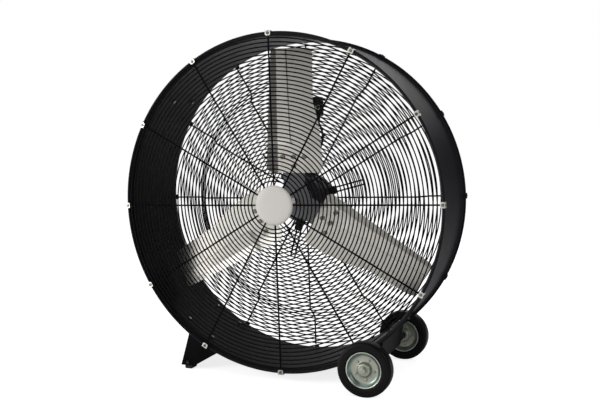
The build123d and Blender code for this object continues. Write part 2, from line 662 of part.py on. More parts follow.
bearing_bore = SHAFT_RADIUS + RUNNING_GAP
motor_front_bearing = ring_solid(bearing_bore, BEARING_RADIUS, bearing_front_y, BEARING_WIDTH)
save(motor_front_bearing, "motor_front_bearing")
motor_rear_bearing = ring_solid(bearing_bore, BEARING_RADIUS, bearing_rear_y, BEARING_WIDTH)
save(motor_rear_bearing, "motor_rear_bearing")

# ================================================================ terminal box
terminal_gland_at = (TERMINAL_GLAND_X, GLAND_Y)
with BuildPart() as terminal_box:
    with BuildSketch(across(terminal_depth)):
        with Locations((0, TERMINAL_BOX_TOP / 2)):
            Rectangle(TERMINAL_BOX_WIDTH, TERMINAL_BOX_TOP)
    extrude(amount=TERMINAL_BOX_LENGTH)
    with BuildSketch(across(terminal_depth - TERMINAL_WALL)):
        with Locations((0, TERMINAL_BOX_TOP / 2)):
            Rectangle(TERMINAL_BOX_WIDTH - 2 * TERMINAL_WALL, TERMINAL_BOX_TOP - 2 * TERMINAL_WALL)
    extrude(amount=TERMINAL_BOX_LENGTH - 2 * TERMINAL_WALL, mode=Mode.SUBTRACT)
    with BuildSketch(across(terminal_depth)):
        Circle(MOTOR_RADIUS + SEAT_GAP)
    extrude(amount=TERMINAL_BOX_LENGTH, mode=Mode.SUBTRACT)
    with BuildSketch(Plane.XY.offset(HUB_HEIGHT + TERMINAL_BOX_TOP)):
        with Locations(terminal_gland_at):
            Circle(LEAD_RADIUS + SEAT_GAP)
    extrude(amount=-2 * TERMINAL_WALL, mode=Mode.SUBTRACT)
save(terminal_box, "terminal_box")

with BuildPart() as terminal_box_lid:
    with BuildSketch(across(terminal_depth + TERMINAL_WALL)):
        with Locations((0, (MOTOR_RADIUS + TERMINAL_BOX_TOP) / 2)):
            Rectangle(TERMINAL_BOX_WIDTH, TERMINAL_BOX_TOP - MOTOR_RADIUS)
    extrude(amount=TERMINAL_WALL)
save(terminal_box_lid, "terminal_box_lid")

# ================================================================ switch box and wiring
box_front = INNER_GUARD_Y + FACE_GAP
box_rear = box_front + SWITCH_BOX_DEPTH
box_low = SWITCH_BOX_Z - SWITCH_BOX_HEIGHT / 2
switch_gap_radius = OUTER_RING_RADIUS - (SWITCH_GAP_RING + 0.5) * RING_PITCH
cover_screw_pitch = (SWITCH_BOX_WIDTH - 2 * COVER_SCREW_INSET, SWITCH_BOX_HEIGHT - 2 * COVER_SCREW_INSET)
knob_y = box_rear + SWITCH_BOX_WALL + SWITCH_NECK_LENGTH + FACE_GAP


def switch_screw_planes(y):
    """Planes that face the front at y where the switch box is screwed to the rear guard."""
    places = [(SWITCH_BOX_X + side * SWITCH_SCREW_HALF) for side in (-1, 1)]
    return [across(y, x, HUB_HEIGHT + sqrt(switch_gap_radius**2 - x**2)) for x in places]


def switch_place(y):
    """Plane that faces the rear at y on the knob's axis, with Z up."""
    return Plane(origin=(SWITCH_BOX_X, y, HUB_HEIGHT + SWITCH_BOX_Z), x_dir=(-1, 0, 0), z_dir=(0, 1, 0))


with BuildPart() as switch_box:
    with BuildSketch(switch_place(box_front)):
        RectangleRounded(SWITCH_BOX_WIDTH, SWITCH_BOX_HEIGHT, SWITCH_BOX_CORNER)
    extrude(amount=SWITCH_BOX_DEPTH)
    with BuildSketch(switch_place(box_front + SWITCH_BOX_WALL)):
        RectangleRounded(
            SWITCH_BOX_WIDTH - 2 * SWITCH_BOX_WALL,
            SWITCH_BOX_HEIGHT - 2 * SWITCH_BOX_WALL,
            SWITCH_BOX_CORNER - SWITCH_BOX_WALL,
        )
    extrude(amount=SWITCH_BOX_DEPTH, mode=Mode.SUBTRACT)
    with BuildSketch(switch_place(box_front)):
        with GridLocations(*cover_screw_pitch, 2, 2):
            Circle(COVER_SCREW_INSET - SWITCH_BOX_WALL + RUNNING_GAP)
    extrude(amount=SWITCH_BOX_DEPTH)
    cut_holes(switch_screw_planes(box_front), SWITCH_SCREW_RADIUS + SEAT_GAP, 2 * SWITCH_BOX_WALL)
    with BuildSketch(Plane.XY.offset(HUB_HEIGHT + box_low)):
        with Locations((LEAD_GLAND_X, GLAND_Y), (POWER_GLAND_X, GLAND_Y)):
            Circle(LEAD_RADIUS + SEAT_GAP)
    extrude(amount=2 * SWITCH_BOX_WALL, mode=Mode.SUBTRACT)
    with BuildSketch(switch_place(box_rear)):
        with GridLocations(*cover_screw_pitch, 2, 2):
            Circle(COVER_SCREW_RADIUS + SEAT_GAP)
    extrude(amount=-COVER_SCREW_LENGTH, mode=Mode.SUBTRACT)
save(switch_box, "switch_box")

with BuildPart() as switch_box_cover:
    with BuildSketch(switch_place(box_rear)):
        RectangleRounded(SWITCH_BOX_WIDTH, SWITCH_BOX_HEIGHT, SWITCH_BOX_CORNER)
        Circle(SWITCH_NECK_RADIUS + SEAT_GAP, mode=Mode.SUBTRACT)
        with GridLocations(*cover_screw_pitch, 2, 2):
            Circle(COVER_SCREW_RADIUS + SEAT_GAP, mode=Mode.SUBTRACT)
    extrude(amount=SWITCH_BOX_WALL)
save(switch_box_cover, "switch_box_cover")

with BuildPart() as cover_screws:
    with BuildSketch(switch_place(box_rear + SWITCH_BOX_WALL)):
        with GridLocations(*cover_screw_pitch, 2, 2):
            Circle(2 * COVER_SCREW_RADIUS)
    extrude(amount=COVER_SCREW_RADIUS)
    with BuildSketch(switch_place(box_rear + SWITCH_BOX_WALL)):
        with GridLocations(*cover_screw_pitch, 2, 2):
            Circle(COVER_SCREW_RADIUS)
    extrude(amount=-COVER_SCREW_LENGTH)
save(cover_screws, "cover_screws")

switch_screw_head_y = INNER_SPOKE_Y - WASHER_SHEET
switch_grip = box_front + SWITCH_BOX_WALL - switch_screw_head_y
with BuildPart() as switch_box_screws:
    switch_screw_length = switch_grip + HEX_HEIGHT * SWITCH_SCREW_RADIUS
    screw_planes = switch_screw_planes(switch_screw_head_y)
    add_bolts(screw_planes, SWITCH_SCREW_RADIUS, switch_screw_length, switch_grip)
    with BuildSketch(*switch_screw_planes(INNER_SPOKE_Y)):
        Circle(WASHER_RADIUS)
    extrude(amount=WASHER_SHEET)
save(switch_box_screws, "switch_box_screws")

with BuildPart() as rotary_switch:
    with BuildSketch(switch_place(box_rear)):
        Circle(SWITCH_BODY_RADIUS)
    extrude(amount=-SWITCH_BODY_LENGTH)
    with BuildSketch(switch_place(box_rear)):
        Circle(SWITCH_NECK_RADIUS)
    extrude(amount=SWITCH_BOX_WALL + SWITCH_NECK_LENGTH)
    with BuildSketch(switch_place(box_rear + SWITCH_BOX_WALL + SWITCH_NECK_LENGTH)):
        Circle(SPINDLE_RADIUS)
    extrude(amount=SPINDLE_LENGTH)
    with BuildSketch(switch_place(box_rear + SWITCH_BOX_WALL)):
        RegularPolygon(SWITCH_NUT_RADIUS, 6)
        Circle(SWITCH_NECK_RADIUS + SEAT_GAP, mode=Mode.SUBTRACT)
    extrude(amount=SWITCH_NUT_HEIGHT)
save(rotary_switch, "rotary_switch")

with BuildPart() as speed_knob:
    with BuildSketch(switch_place(knob_y)):
        Circle(KNOB_RADIUS)
    extrude(amount=KNOB_BASE)
    with BuildSketch(switch_place(knob_y)):
        Circle(KNOB_RADIUS - 2 * FACE_GAP)
        Rectangle(KNOB_BAR, 2 * KNOB_RADIUS, mode=Mode.INTERSECT)
    extrude(amount=KNOB_HEIGHT)
    with BuildSketch(switch_place(knob_y)):
        Circle(SPINDLE_RADIUS + RUNNING_GAP)
    extrude(amount=SPINDLE_LENGTH, mode=Mode.SUBTRACT)
save(speed_knob, "speed_knob")

terminal_top_z = HUB_HEIGHT + TERMINAL_BOX_TOP
lead_route = [  # X, Y and Z from the hub, from the switch box down to the terminal box
    (LEAD_GLAND_X, GLAND_Y, box_low + SWITCH_BOX_WALL),
    (LEAD_GLAND_X, GLAND_Y, box_low - GLAND_LENGTH - LEAD_STRAIGHT),
    (52, 116, 216),
    (57, 115, 188),
    (47, 115, 155),
    (27, 115, 127),
    (TERMINAL_GLAND_X, GLAND_Y, TERMINAL_BOX_TOP + GLAND_LENGTH + LEAD_STRAIGHT),
    (TERMINAL_GLAND_X, GLAND_Y, TERMINAL_BOX_TOP - TERMINAL_WALL),
]
with BuildPart() as motor_lead:
    with BuildLine() as lead_path:
        FilletPolyline(*[(x, y, HUB_HEIGHT + z) for x, y, z in lead_route], radius=LEAD_BEND)
    with BuildSketch(Plane(origin=lead_path.line @ 0, z_dir=lead_path.line % 0)):
        Circle(LEAD_RADIUS)
    sweep()
save(motor_lead, "motor_lead")

with BuildPart() as cable_glands:
    with BuildSketch(Plane.XY.offset(HUB_HEIGHT + box_low - GLAND_LENGTH)):
        with Locations((LEAD_GLAND_X, GLAND_Y), (POWER_GLAND_X, GLAND_Y)):
            RegularPolygon(GLAND_RADIUS, 12)
            Circle(LEAD_RADIUS + SEAT_GAP, mode=Mode.SUBTRACT)
    extrude(amount=GLAND_LENGTH)
    with BuildSketch(Plane.XY.offset(terminal_top_z)):
        with Locations((TERMINAL_GLAND_X, GLAND_Y)):
            RegularPolygon(GLAND_RADIUS, 12)
            Circle(LEAD_RADIUS + SEAT_GAP, mode=Mode.SUBTRACT)
    extrude(amount=GLAND_LENGTH)
save(cable_glands, "cable_glands")

# X and Z from the hub and slant, where the lead crosses rings
tie_places = [(56.5, 191, 42), (41, 146.7, 109)]
with BuildPart() as cable_ties:
    tie_front = INNER_SPOKE_Y - FACE_GAP
    tie_rear = INNER_GUARD_Y + 2 * LEAD_RADIUS + 3 * FACE_GAP
    tie_planes = [
        Plane(
            origin=(x, (tie_front + tie_rear) / 2, HUB_HEIGHT + z),
            x_dir=(cos(radians(slant)), 0, sin(radians(slant))),
            z_dir=(-sin(radians(slant)), 0, cos(radians(slant))),
        )
        for x, z, slant in tie_places
    ]
    with BuildSketch(*tie_planes):
        Rectangle(2 * TIE_HALF + 2 * TIE_SHEET, tie_rear - tie_front + 2 * TIE_SHEET)
        Rectangle(2 * TIE_HALF, tie_rear - tie_front, mode=Mode.SUBTRACT)
    extrude(amount=TIE_WIDTH / 2, both=True)
save(cable_ties, "cable_ties")

# ================================================================ rotor
blade_angles = [90 + 360 / BLADE_COUNT * step for step in range(BLADE_COUNT)]
blade_front = SPIDER_FRONT_Y - BLADE_SHEET


def blade_bolt_planes(y):
    """Planes that face the front at y, one at each of a blade's bolts, for all the blades."""
    places = [(BLADE_BOLT_ROW, step * BLADE_BOLT_PITCH) for step in (-1, 0, 1)] + [(BLADE_BOLT_INNER, 0)]
    planes = []
    for angle in blade_angles:
        frame = turned(angle, y)
        origins = [frame.from_local_coords(place) for place in places]
        planes += [Plane(origin, x_dir=frame.x_dir, z_dir=frame.z_dir) for origin in origins]
    return planes


with BuildPart() as spider:
    with BuildSketch(across(SPIDER_REAR_Y)) as spider_outline:
        Circle(SPIDER_DISC_RADIUS)
        with PolarLocations(SPIDER_ARM_RADIUS / 2, BLADE_COUNT, start_angle=90):
            Rectangle(SPIDER_ARM_RADIUS, SPIDER_ARM_WIDTH)
        with PolarLocations(SPIDER_ARM_RADIUS - SPIDER_HEAD_LENGTH / 2, BLADE_COUNT, start_angle=90):
            Rectangle(SPIDER_HEAD_LENGTH, SPIDER_HEAD_WIDTH)
        corners = spider_outline.vertices().sort_by_distance((0, 0))
        fillet(corners[-2 * BLADE_COUNT :], SPIDER_CORNER)
        corners = spider_outline.vertices().sort_by_distance((0, 0))
        fillet(corners[: 6 * BLADE_COUNT], SPIDER_NOTCH)
        Circle(SHAFT_RADIUS + SEAT_GAP, mode=Mode.SUBTRACT)
    extrude(amount=SPIDER_SHEET)
    cut_holes(blade_bolt_planes(SPIDER_REAR_Y), BLADE_BOLT_RADIUS + SEAT_GAP, 2 * SPIDER_SHEET)
    hub_bolts_at = bolt_circle(HUB_BOLT_CIRCLE, HUB_BOLT_COUNT, HUB_BOLT_START, SPIDER_FRONT_Y)
    cut_holes(hub_bolts_at, HUB_BOLT_RADIUS + SEAT_GAP, 2 * SPIDER_SHEET)
save(spider, "spider")

with BuildPart() as hub:
    with BuildSketch(PROFILE):
        with BuildLine():
            Polyline(
                (SPIDER_REAR_Y, SHAFT_RADIUS + SEAT_GAP),
                (SPIDER_REAR_Y, HUB_FLANGE_RADIUS),
                (SPIDER_REAR_Y + HUB_FLANGE, HUB_FLANGE_RADIUS),
                (SPIDER_REAR_Y + HUB_FLANGE, HUB_BARREL_RADIUS),
                (HUB_REAR_Y, HUB_BARREL_RADIUS),
                (HUB_REAR_Y, SHAFT_RADIUS + SEAT_GAP),
                close=True,
            )
        make_face()
    revolve(axis=HUB_AXIS)
    cut_holes(hub_bolts_at, HUB_BOLT_RADIUS + SEAT_GAP, 2 * HUB_FLANGE)
save(hub, "hub")

hub_grip = SPIDER_SHEET + HUB_FLANGE
with BuildPart() as hub_bolts:
    add_bolts(hub_bolts_at, HUB_BOLT_RADIUS, bolt_length(HUB_BOLT_RADIUS, hub_grip), hub_grip)
save(hub_bolts, "hub_bolts")

with BuildPart() as motor_shaft:
    with BuildSketch(across(SPIDER_FRONT_Y - SHAFT_NOSE)):
        Circle(SHAFT_RADIUS)
    extrude(amount=SPIDER_FRONT_Y - SHAFT_NOSE - bearing_rear_y - BEARING_WIDTH + 4 * FACE_GAP)
save(motor_shaft, "motor_shaft")

rotor_core = ring_solid(
    SHAFT_RADIUS + RUNNING_GAP, STATOR_BORE - ROTOR_AIR_GAP, MOTOR_MID_Y - STATOR_HALF, 2 * STATOR_HALF
)
save(rotor_core, "rotor_core")


def blade_chord(radius):
    """Leading edge, bend and trailing edge of a blade at a radius, as places across it."""
    share = (radius - BLADE_ROOT_RADIUS) / (BLADE_TIP_RADIUS - BLADE_ROOT_RADIUS)
    ends = ((-ROOT_LEADING, -TIP_LEADING), (ROOT_BEND, TIP_BEND), (ROOT_TRAILING, TIP_TRAILING))
    return [root + share * (tip - root) for root, tip in ends]


def blade_part(angle):
    """One blade, flat on its arm and pitched towards its tip, with its trailing strip bent forward."""
    flat_share = (BLADE_FLAT_RADIUS - BLADE_ROOT_RADIUS) / (BLADE_TIP_RADIUS - BLADE_ROOT_RADIUS)
    flat_strip = ROOT_STRIP_RISE + flat_share * (TIP_STRIP_RISE - ROOT_STRIP_RISE)
    tip_turn = TIP_PITCH_RISE * TIP_BEND / (TIP_BEND + TIP_LEADING)  # the bend's share of the pitch
    rises = {
        BLADE_ROOT_RADIUS: (0, 0, ROOT_STRIP_RISE),
        BLADE_FLAT_RADIUS: (0, 0, flat_strip),
        BLADE_TIP_RADIUS: (tip_turn - TIP_PITCH_RISE, tip_turn / 2, tip_turn / 2 + TIP_STRIP_RISE),
    }
    shoulder_chord = -blade_chord(BLADE_ROOT_RADIUS + SHOULDER_START)[0]
    out = radial(angle).x_dir
    around = radial(angle).z_dir
    with BuildPart() as blade:
        for radius, rise in rises.items():
            base = Vector(0, SPIDER_FRONT_Y, HUB_HEIGHT) + out * radius
            edge = list(zip(blade_chord(radius), rise))
            back = [(place, height + BLADE_SHEET) for place, height in reversed(edge)]
            with BuildSketch(Plane(base, x_dir=around, z_dir=out)):
                with BuildLine():
                    Polyline(*edge, *back, close=True)
                make_face()
        loft(ruled=True)
        with BuildSketch(turned(angle, SPIDER_FRONT_Y)) as outline:
            margin = 4 * FACE_GAP  # the outline only rounds the corners
            with BuildLine():
                Polyline(
                    (BLADE_ROOT_RADIUS, -ROOT_LEADING - margin),
                    (BLADE_ROOT_RADIUS, ROOT_TRAILING + margin),
                    (BLADE_TIP_RADIUS, TIP_TRAILING + margin),
                    (BLADE_TIP_RADIUS, -TIP_LEADING),
                    (BLADE_ROOT_RADIUS + SHOULDER_END, -SHOULDER_LEADING),
                    (BLADE_ROOT_RADIUS + SHOULDER_START, -shoulder_chord),
                    close=True,
                )
            make_face()
            fillet(outline.vertices().group_by(Axis.X)[0], BLADE_ROOT_CORNER)
            fillet(outline.vertices().group_by(Axis.X)[-1].sort_by(Axis.Y)[0], BLADE_TIP_LEAD_CORNER)
            fillet(outline.vertices().group_by(Axis.X)[-1].sort_by(Axis.Y)[-1], BLADE_TIP_CORNER)
        extrude(amount=4 * ROOT_STRIP_RISE, both=True, mode=Mode.INTERSECT)
        cut_holes(blade_bolt_planes(SPIDER_FRONT_Y), BLADE_BOLT_RADIUS + SEAT_GAP, 2 * BLADE_SHEET)
    return blade


for number, angle in enumerate(blade_angles, start=1):
    save(blade_part(angle), f"blade_{number}")

blade_grip = BLADE_SHEET + SPIDER_SHEET
with BuildPart() as blade_bolts:
    length = bolt_length(BLADE_BOLT_RADIUS, blade_grip)
    add_bolts(blade_bolt_planes(blade_front), BLADE_BOLT_RADIUS, length, blade_grip)
save(blade_bolts, "blade_bolts")

# ================================================================ foot
foot_floor = FOOT_BOTTOM_Z - HUB_HEIGHT


def hub_arc(start, end):
    """Arc of a bracket's seat on the drum, between two angles, in a sketch about the hub axis."""
    return CenterArc((0, 0), SEAT_RADIUS, start, end - start)


def bracket_plates():
    """Planes on which a bracket's two end plates are drawn, to be thickened to the front."""
    return across(BRACKET_SHEET - BRACKET_HALF), across(BRACKET_HALF)


foot_corners = [
    drum_point(FOOT_LEFT_TOP, SEAT_RADIUS),
    (PAD_X + FOOT_BOTTOM_LEFT, foot_floor),
    (PAD_X + FOOT_BOTTOM_RIGHT, foot_floor),
    drum_point(FOOT_RIGHT_TOP, SEAT_RADIUS),
]
pad_mid_y = BRACKET_HALF - BRACKET_SHEET - PAD_LENGTH / 2
pad_bolt_planes = [
    across(-BRACKET_HALF, PAD_X, PAD_BOLT_Z),
    Plane(origin=(PAD_X, BRACKET_HALF, PAD_BOLT_Z), x_dir=(-1, 0, 0), z_dir=(0, 1, 0)),
]
foot_bolt_planes = bracket_bolts_at(foot_bolt_angles, DRUM_INNER - SEAT_GAP)
bracket_grip = DRUM_SHEET + BRACKET_SHEET + 3 * SEAT_GAP
bracket_bolt_length = bolt_length(BRACKET_BOLT_RADIUS, bracket_grip)


with BuildPart() as foot_bracket:
    with BuildSketch(across(0)):
        with BuildLine():
            hub_arc(FOOT_LEFT_TOP - FOOT_FLANGE, FOOT_LEFT_TOP)
            Polyline(*foot_corners)
            hub_arc(FOOT_RIGHT_TOP, FOOT_RIGHT_TOP + FOOT_FLANGE)
            offset(amount=BRACKET_SHEET, side=Side.RIGHT, closed=True, kind=Kind.INTERSECTION)
        make_face()
    extrude(amount=BRACKET_HALF, both=True)
    with BuildSketch(*bracket_plates()):
        with BuildLine():
            Polyline(*foot_corners)
            hub_arc(FOOT_RIGHT_TOP, FOOT_LEFT_TOP)
        make_face()
    extrude(amount=BRACKET_SHEET)
    with BuildSketch(Plane.XY.offset(FOOT_BOTTOM_Z)):
        with Locations((PAD_X, -pad_mid_y), (PAD_X, pad_mid_y)):
            Rectangle(PAD_WIDTH + 2 * FACE_GAP, PAD_LENGTH)
    extrude(amount=-2 * BRACKET_SHEET, mode=Mode.SUBTRACT)
    cut_holes(foot_bolt_planes, BRACKET_BOLT_RADIUS + SEAT_GAP, 2 * bracket_grip)
    cut_holes(pad_bolt_planes, PAD_BOLT_RADIUS + SEAT_GAP, 2 * BRACKET_SHEET)
save(foot_bracket, "foot_bracket")

with BuildPart() as foot_pads:
    with BuildSketch(Plane.XY):
        with Locations((PAD_X, -pad_mid_y), (PAD_X, pad_mid_y)):
            Rectangle(PAD_WIDTH, PAD_LENGTH)
    extrude(amount=PAD_HEIGHT)
    chamfer(foot_pads.edges().group_by(Axis.Z)[0], BRACKET_SHEET)
    cut_holes(pad_bolt_planes, PAD_BOLT_RADIUS + SEAT_GAP, PAD_BOLT_LENGTH)
save(foot_pads, "foot_pads")

with BuildPart() as foot_pad_bolts:
    add_bolts(pad_bolt_planes, PAD_BOLT_RADIUS, PAD_BOLT_LENGTH - SEAT_GAP)
save(foot_pad_bolts, "foot_pad_bolts")

with BuildPart() as foot_bolts:
    add_bolts(inward(foot_bolt_planes), BRACKET_BOLT_RADIUS, bracket_bolt_length, bracket_grip)
save(foot_bolts, "foot_bolts")

# ================================================================ axle bracket
eye_inner = AXLE_EYE_RADIUS - BRACKET_SHEET
axle_place = (AXLE_X, AXLE_Z - HUB_HEIGHT)


def tangent_angle(point, side):
    """Direction from the axle at which a line from a point touches the bracket's rounded foot."""
    reach = (point[0] - axle_place[0], point[1] - axle_place[1])
    spread = degrees(acos(eye_inner / hypot(*reach)))
    return degrees(atan2(reach[1], reach[0])) + side * spread


axle_left_top = drum_point(axle_left_angle, SEAT_RADIUS)
axle_right_top = drum_point(axle_right_angle, SEAT_RADIUS)
eye_start = tangent_angle(axle_left_top, 1)
eye_end = tangent_angle(axle_right_top, -1) + 360


def axle_trough():
    """Lines of the axle bracket's webs and rounded foot, from its left seat to its right one."""
    foot = CenterArc(axle_place, eye_inner, eye_start, eye_end - eye_start)
    Line(axle_left_top, foot @ 0)
    Line(foot @ 1, axle_right_top)


axle_bolt_planes = bracket_bolts_at(axle_bolt_angles, DRUM_INNER - SEAT_GAP)

with BuildPart() as axle_bracket:
    with BuildSketch(across(0)):
        with BuildLine():
            hub_arc(axle_left_angle - FOOT_FLANGE, axle_left_angle)
            axle_trough()
            hub_arc(axle_right_angle, axle_right_angle + FOOT_FLANGE)
            offset(amount=BRACKET_SHEET, side=Side.RIGHT, closed=True, kind=Kind.INTERSECTION)
        make_face()
    extrude(amount=BRACKET_HALF, both=True)
    with BuildSketch(*bracket_plates()):
        with BuildLine():
            axle_trough()
            hub_arc(axle_right_angle, axle_left_angle)
        make_face()
    extrude(amount=BRACKET_SHEET)
    cut_holes(axle_bolt_planes, BRACKET_BOLT_RADIUS + SEAT_GAP, 2 * bracket_grip)
    cut_holes([across(0, AXLE_X, AXLE_Z)], AXLE_RADIUS + SEAT_GAP, BRACKET_HALF + BRACKET_SHEET)
save(axle_bracket, "axle_bracket")

with BuildPart() as axle_bracket_bolts:
    add_bolts(inward(axle_bolt_planes), BRACKET_BOLT_RADIUS, bracket_bolt_length, bracket_grip)
save(axle_bracket_bolts, "axle_bracket_bolts")

# ================================================================ axle and wheels
hub_half = WHEEL_WIDTH / 2 - RIM_SHEET  # half the length of a wheel's bush
washer_y = WHEEL_MID_Y + hub_half + FACE_GAP
nut_y = washer_y + AXLE_WASHER_SHEET
axle_half = nut_y + AXLE_NUT_HEIGHT + AXLE_END


def axle_planes(y):
    """Planes on the axle at y towards both its ends, facing outwards."""
    rear = Plane(origin=(AXLE_X, y, AXLE_Z), x_dir=(-1, 0, 0), z_dir=(0, 1, 0))
    return across(-y, AXLE_X, AXLE_Z), rear


with BuildPart() as axle:
    with BuildSketch(across(0, AXLE_X, AXLE_Z)):
        Circle(AXLE_RADIUS)
    extrude(amount=axle_half, both=True)
save(axle, "axle")

with BuildPart() as axle_spacers:
    with BuildSketch(*axle_planes(BRACKET_HALF)):
        Circle(SPACER_RADIUS)
        Circle(AXLE_RADIUS + SEAT_GAP, mode=Mode.SUBTRACT)
    extrude(amount=WHEEL_MID_Y - hub_half - FACE_GAP - BRACKET_HALF)
save(axle_spacers, "axle_spacers")

with BuildPart() as axle_nuts:
    with BuildSketch(*axle_planes(washer_y)):
        Circle(AXLE_WASHER_RADIUS)
    extrude(amount=AXLE_WASHER_SHEET)
    with BuildSketch(*axle_planes(nut_y)):
        RegularPolygon(AXLE_NUT_RADIUS, 6)
    extrude(amount=AXLE_NUT_HEIGHT)
    with BuildSketch(across(0, AXLE_X, AXLE_Z)):
        Circle(AXLE_RADIUS + SEAT_GAP)
    extrude(amount=axle_half, both=True, mode=Mode.SUBTRACT)
save(axle_nuts, "axle_nuts")

dish_outside = [  # radius and place out from the wheel's middle, along one half of the rim
    (RIM_LIP_RADIUS, DISH_FLOOR + DISH_DEPTH),
    (RIM_DISC_RADIUS, DISH_FLOOR),
    (DISH_FLOOR_RADIUS, DISH_FLOOR),
    (WHEEL_HUB_RADIUS, WHEEL_WIDTH / 2 - RIM_SHEET),
]


def wheel_profile(mid_y):
    """Plane through a wheel's axis, with its X to the rear and its Y outwards."""
    return Plane(origin=(AXLE_X, mid_y, AXLE_Z), x_dir=(0, 1, 0), z_dir=(1, 0, 0))


def tyre_part(mid_y):
    """Solid rubber tyre, seated between and on the lips of the rim's two halves."""
    seat = RIM_LIP_RADIUS + SEAT_GAP
    lip = DISH_FLOOR + DISH_DEPTH - RIM_SHEET - FACE_GAP
    half = WHEEL_WIDTH / 2
    outline = [
        (-TYRE_BASE_HALF, TYRE_BASE_RADIUS),
        (-lip, seat),
        (-half, seat),
        (-half, TYRE_SHOULDER_RADIUS),
        (-TYRE_TREAD_HALF, WHEEL_RADIUS),
    ]
    mirrored = [(-place, radius) for place, radius in reversed(outline)]
    with BuildPart() as tyre:
        with BuildSketch(wheel_profile(mid_y)):
            with BuildLine():
                Polyline(*outline, *mirrored, close=True)
            make_face()
        revolve(axis=Axis((AXLE_X, 0, AXLE_Z), (0, 1, 0)))
    return tyre


def rivet_planes(mid_y, out=0.0):
    """Planes on a wheel's rivets, that face the front, out from the wheel's middle."""
    angles = [360 / RIVET_COUNT * step for step in range(RIVET_COUNT)]
    return [
        across(mid_y - out, AXLE_X + RIVET_CIRCLE * sin(radians(a)), AXLE_Z + RIVET_CIRCLE * cos(radians(a)))
        for a in angles
    ]


def rim_part(mid_y):
    """The rim's two pressed halves, back to back."""
    with BuildPart() as rim:
        for side in (-1, 1):
            outer = [(side * place, radius) for radius, place in dish_outside]
            inner = [(side * (place - RIM_SHEET), radius) for radius, place in reversed(dish_outside)]
            with BuildSketch(wheel_profile(mid_y)):
                with BuildLine():
                    Polyline(*outer, *inner, close=True)
                make_face()
        revolve(axis=Axis((AXLE_X, 0, AXLE_Z), (0, 1, 0)))
        cut_holes(rivet_planes(mid_y), RIVET_RADIUS + SEAT_GAP, WHEEL_WIDTH / 2)
    return rim


def rivets_part(mid_y):
    """Rivets through both halves of a rim, with a head on each."""
    with BuildPart() as rivets:
        with BuildSketch(*rivet_planes(mid_y)):
            Circle(RIVET_RADIUS)
        extrude(amount=DISH_FLOOR, both=True)
        heads_at = rivet_planes(mid_y, DISH_FLOOR)
        heads_at += rivet_planes(mid_y, -DISH_FLOOR - RIVET_HEAD_HEIGHT)
        with BuildSketch(*heads_at):
            Circle(RIVET_HEAD_RADIUS)
        extrude(amount=RIVET_HEAD_HEIGHT)
    return rivets


def bush_part(mid_y):
    """Bush that carries a wheel on the axle."""
    with BuildPart() as bush:
        with BuildSketch(across(mid_y, AXLE_X, AXLE_Z)):
            Circle(WHEEL_HUB_RADIUS - SEAT_GAP)
            Circle(AXLE_RADIUS + RUNNING_GAP, mode=Mode.SUBTRACT)
        extrude(amount=hub_half, both=True)
    return bush


for side, mid_y in (("front", -WHEEL_MID_Y), ("rear", WHEEL_MID_Y)):
    save(tyre_part(mid_y), f"wheel_{side}_tyre")
    save(rim_part(mid_y), f"wheel_{side}_rim")
    save(rivets_part(mid_y), f"wheel_{side}_rivets")
    save(bush_part(mid_y), f"wheel_{side}_bush")

# ================================================================ handle
handle_out = on_drum(HANDLE_ANGLE, 0).z_dir
handle_seat = DRUM_RADIUS + 2 * SEAT_GAP
handle_plane = Plane(
    origin=on_drum(HANDLE_ANGLE, 0, handle_seat).origin,
    x_dir=(0, 1, 0),
    z_dir=(handle_out.Z, 0, -handle_out.X),
)
handle_top = HANDLE_HEIGHT - HANDLE_GRIP_RADIUS
handle_bolt_planes = [on_drum(HANDLE_ANGLE, y, DRUM_INNER - SEAT_GAP) for y in handle_ends]
with BuildPart() as handle:
    with BuildLine(handle_plane) as grip_line:
        FilletPolyline(
            (-HANDLE_PITCH / 2, 0),
            (-HANDLE_PITCH / 2, handle_top),
            (HANDLE_PITCH / 2, handle_top),
            (HANDLE_PITCH / 2, 0),
            radius=HANDLE_BEND,
        )
    with BuildSketch(Plane(origin=grip_line.line @ 0, z_dir=grip_line.line % 0)):
        Circle(HANDLE_GRIP_RADIUS)
    sweep()
    with BuildSketch(*[on_drum(HANDLE_ANGLE, y, handle_seat) for y in handle_ends]):
        Circle(HANDLE_FOOT_RADIUS)
    extrude(amount=HANDLE_FOOT_HEIGHT)
    cut_holes(handle_bolt_planes, BRACKET_BOLT_RADIUS + SEAT_GAP, HANDLE_BOLT_LENGTH)
save(handle, "handle")

with BuildPart() as handle_bolts:
    add_bolts(inward(handle_bolt_planes), BRACKET_BOLT_RADIUS, HANDLE_BOLT_LENGTH - SEAT_GAP)
save(handle_bolts, "handle_bolts")
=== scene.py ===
"""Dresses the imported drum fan: true round guards, rolled rims, bent blades, tyres and finishes."""

from __future__ import annotations

import json
import logging
import math
from collections.abc import Callable, Iterable, Sequence
from dataclasses import dataclass, field
from enum import Enum

import bmesh
import bpy
from mathutils import Matrix, Vector

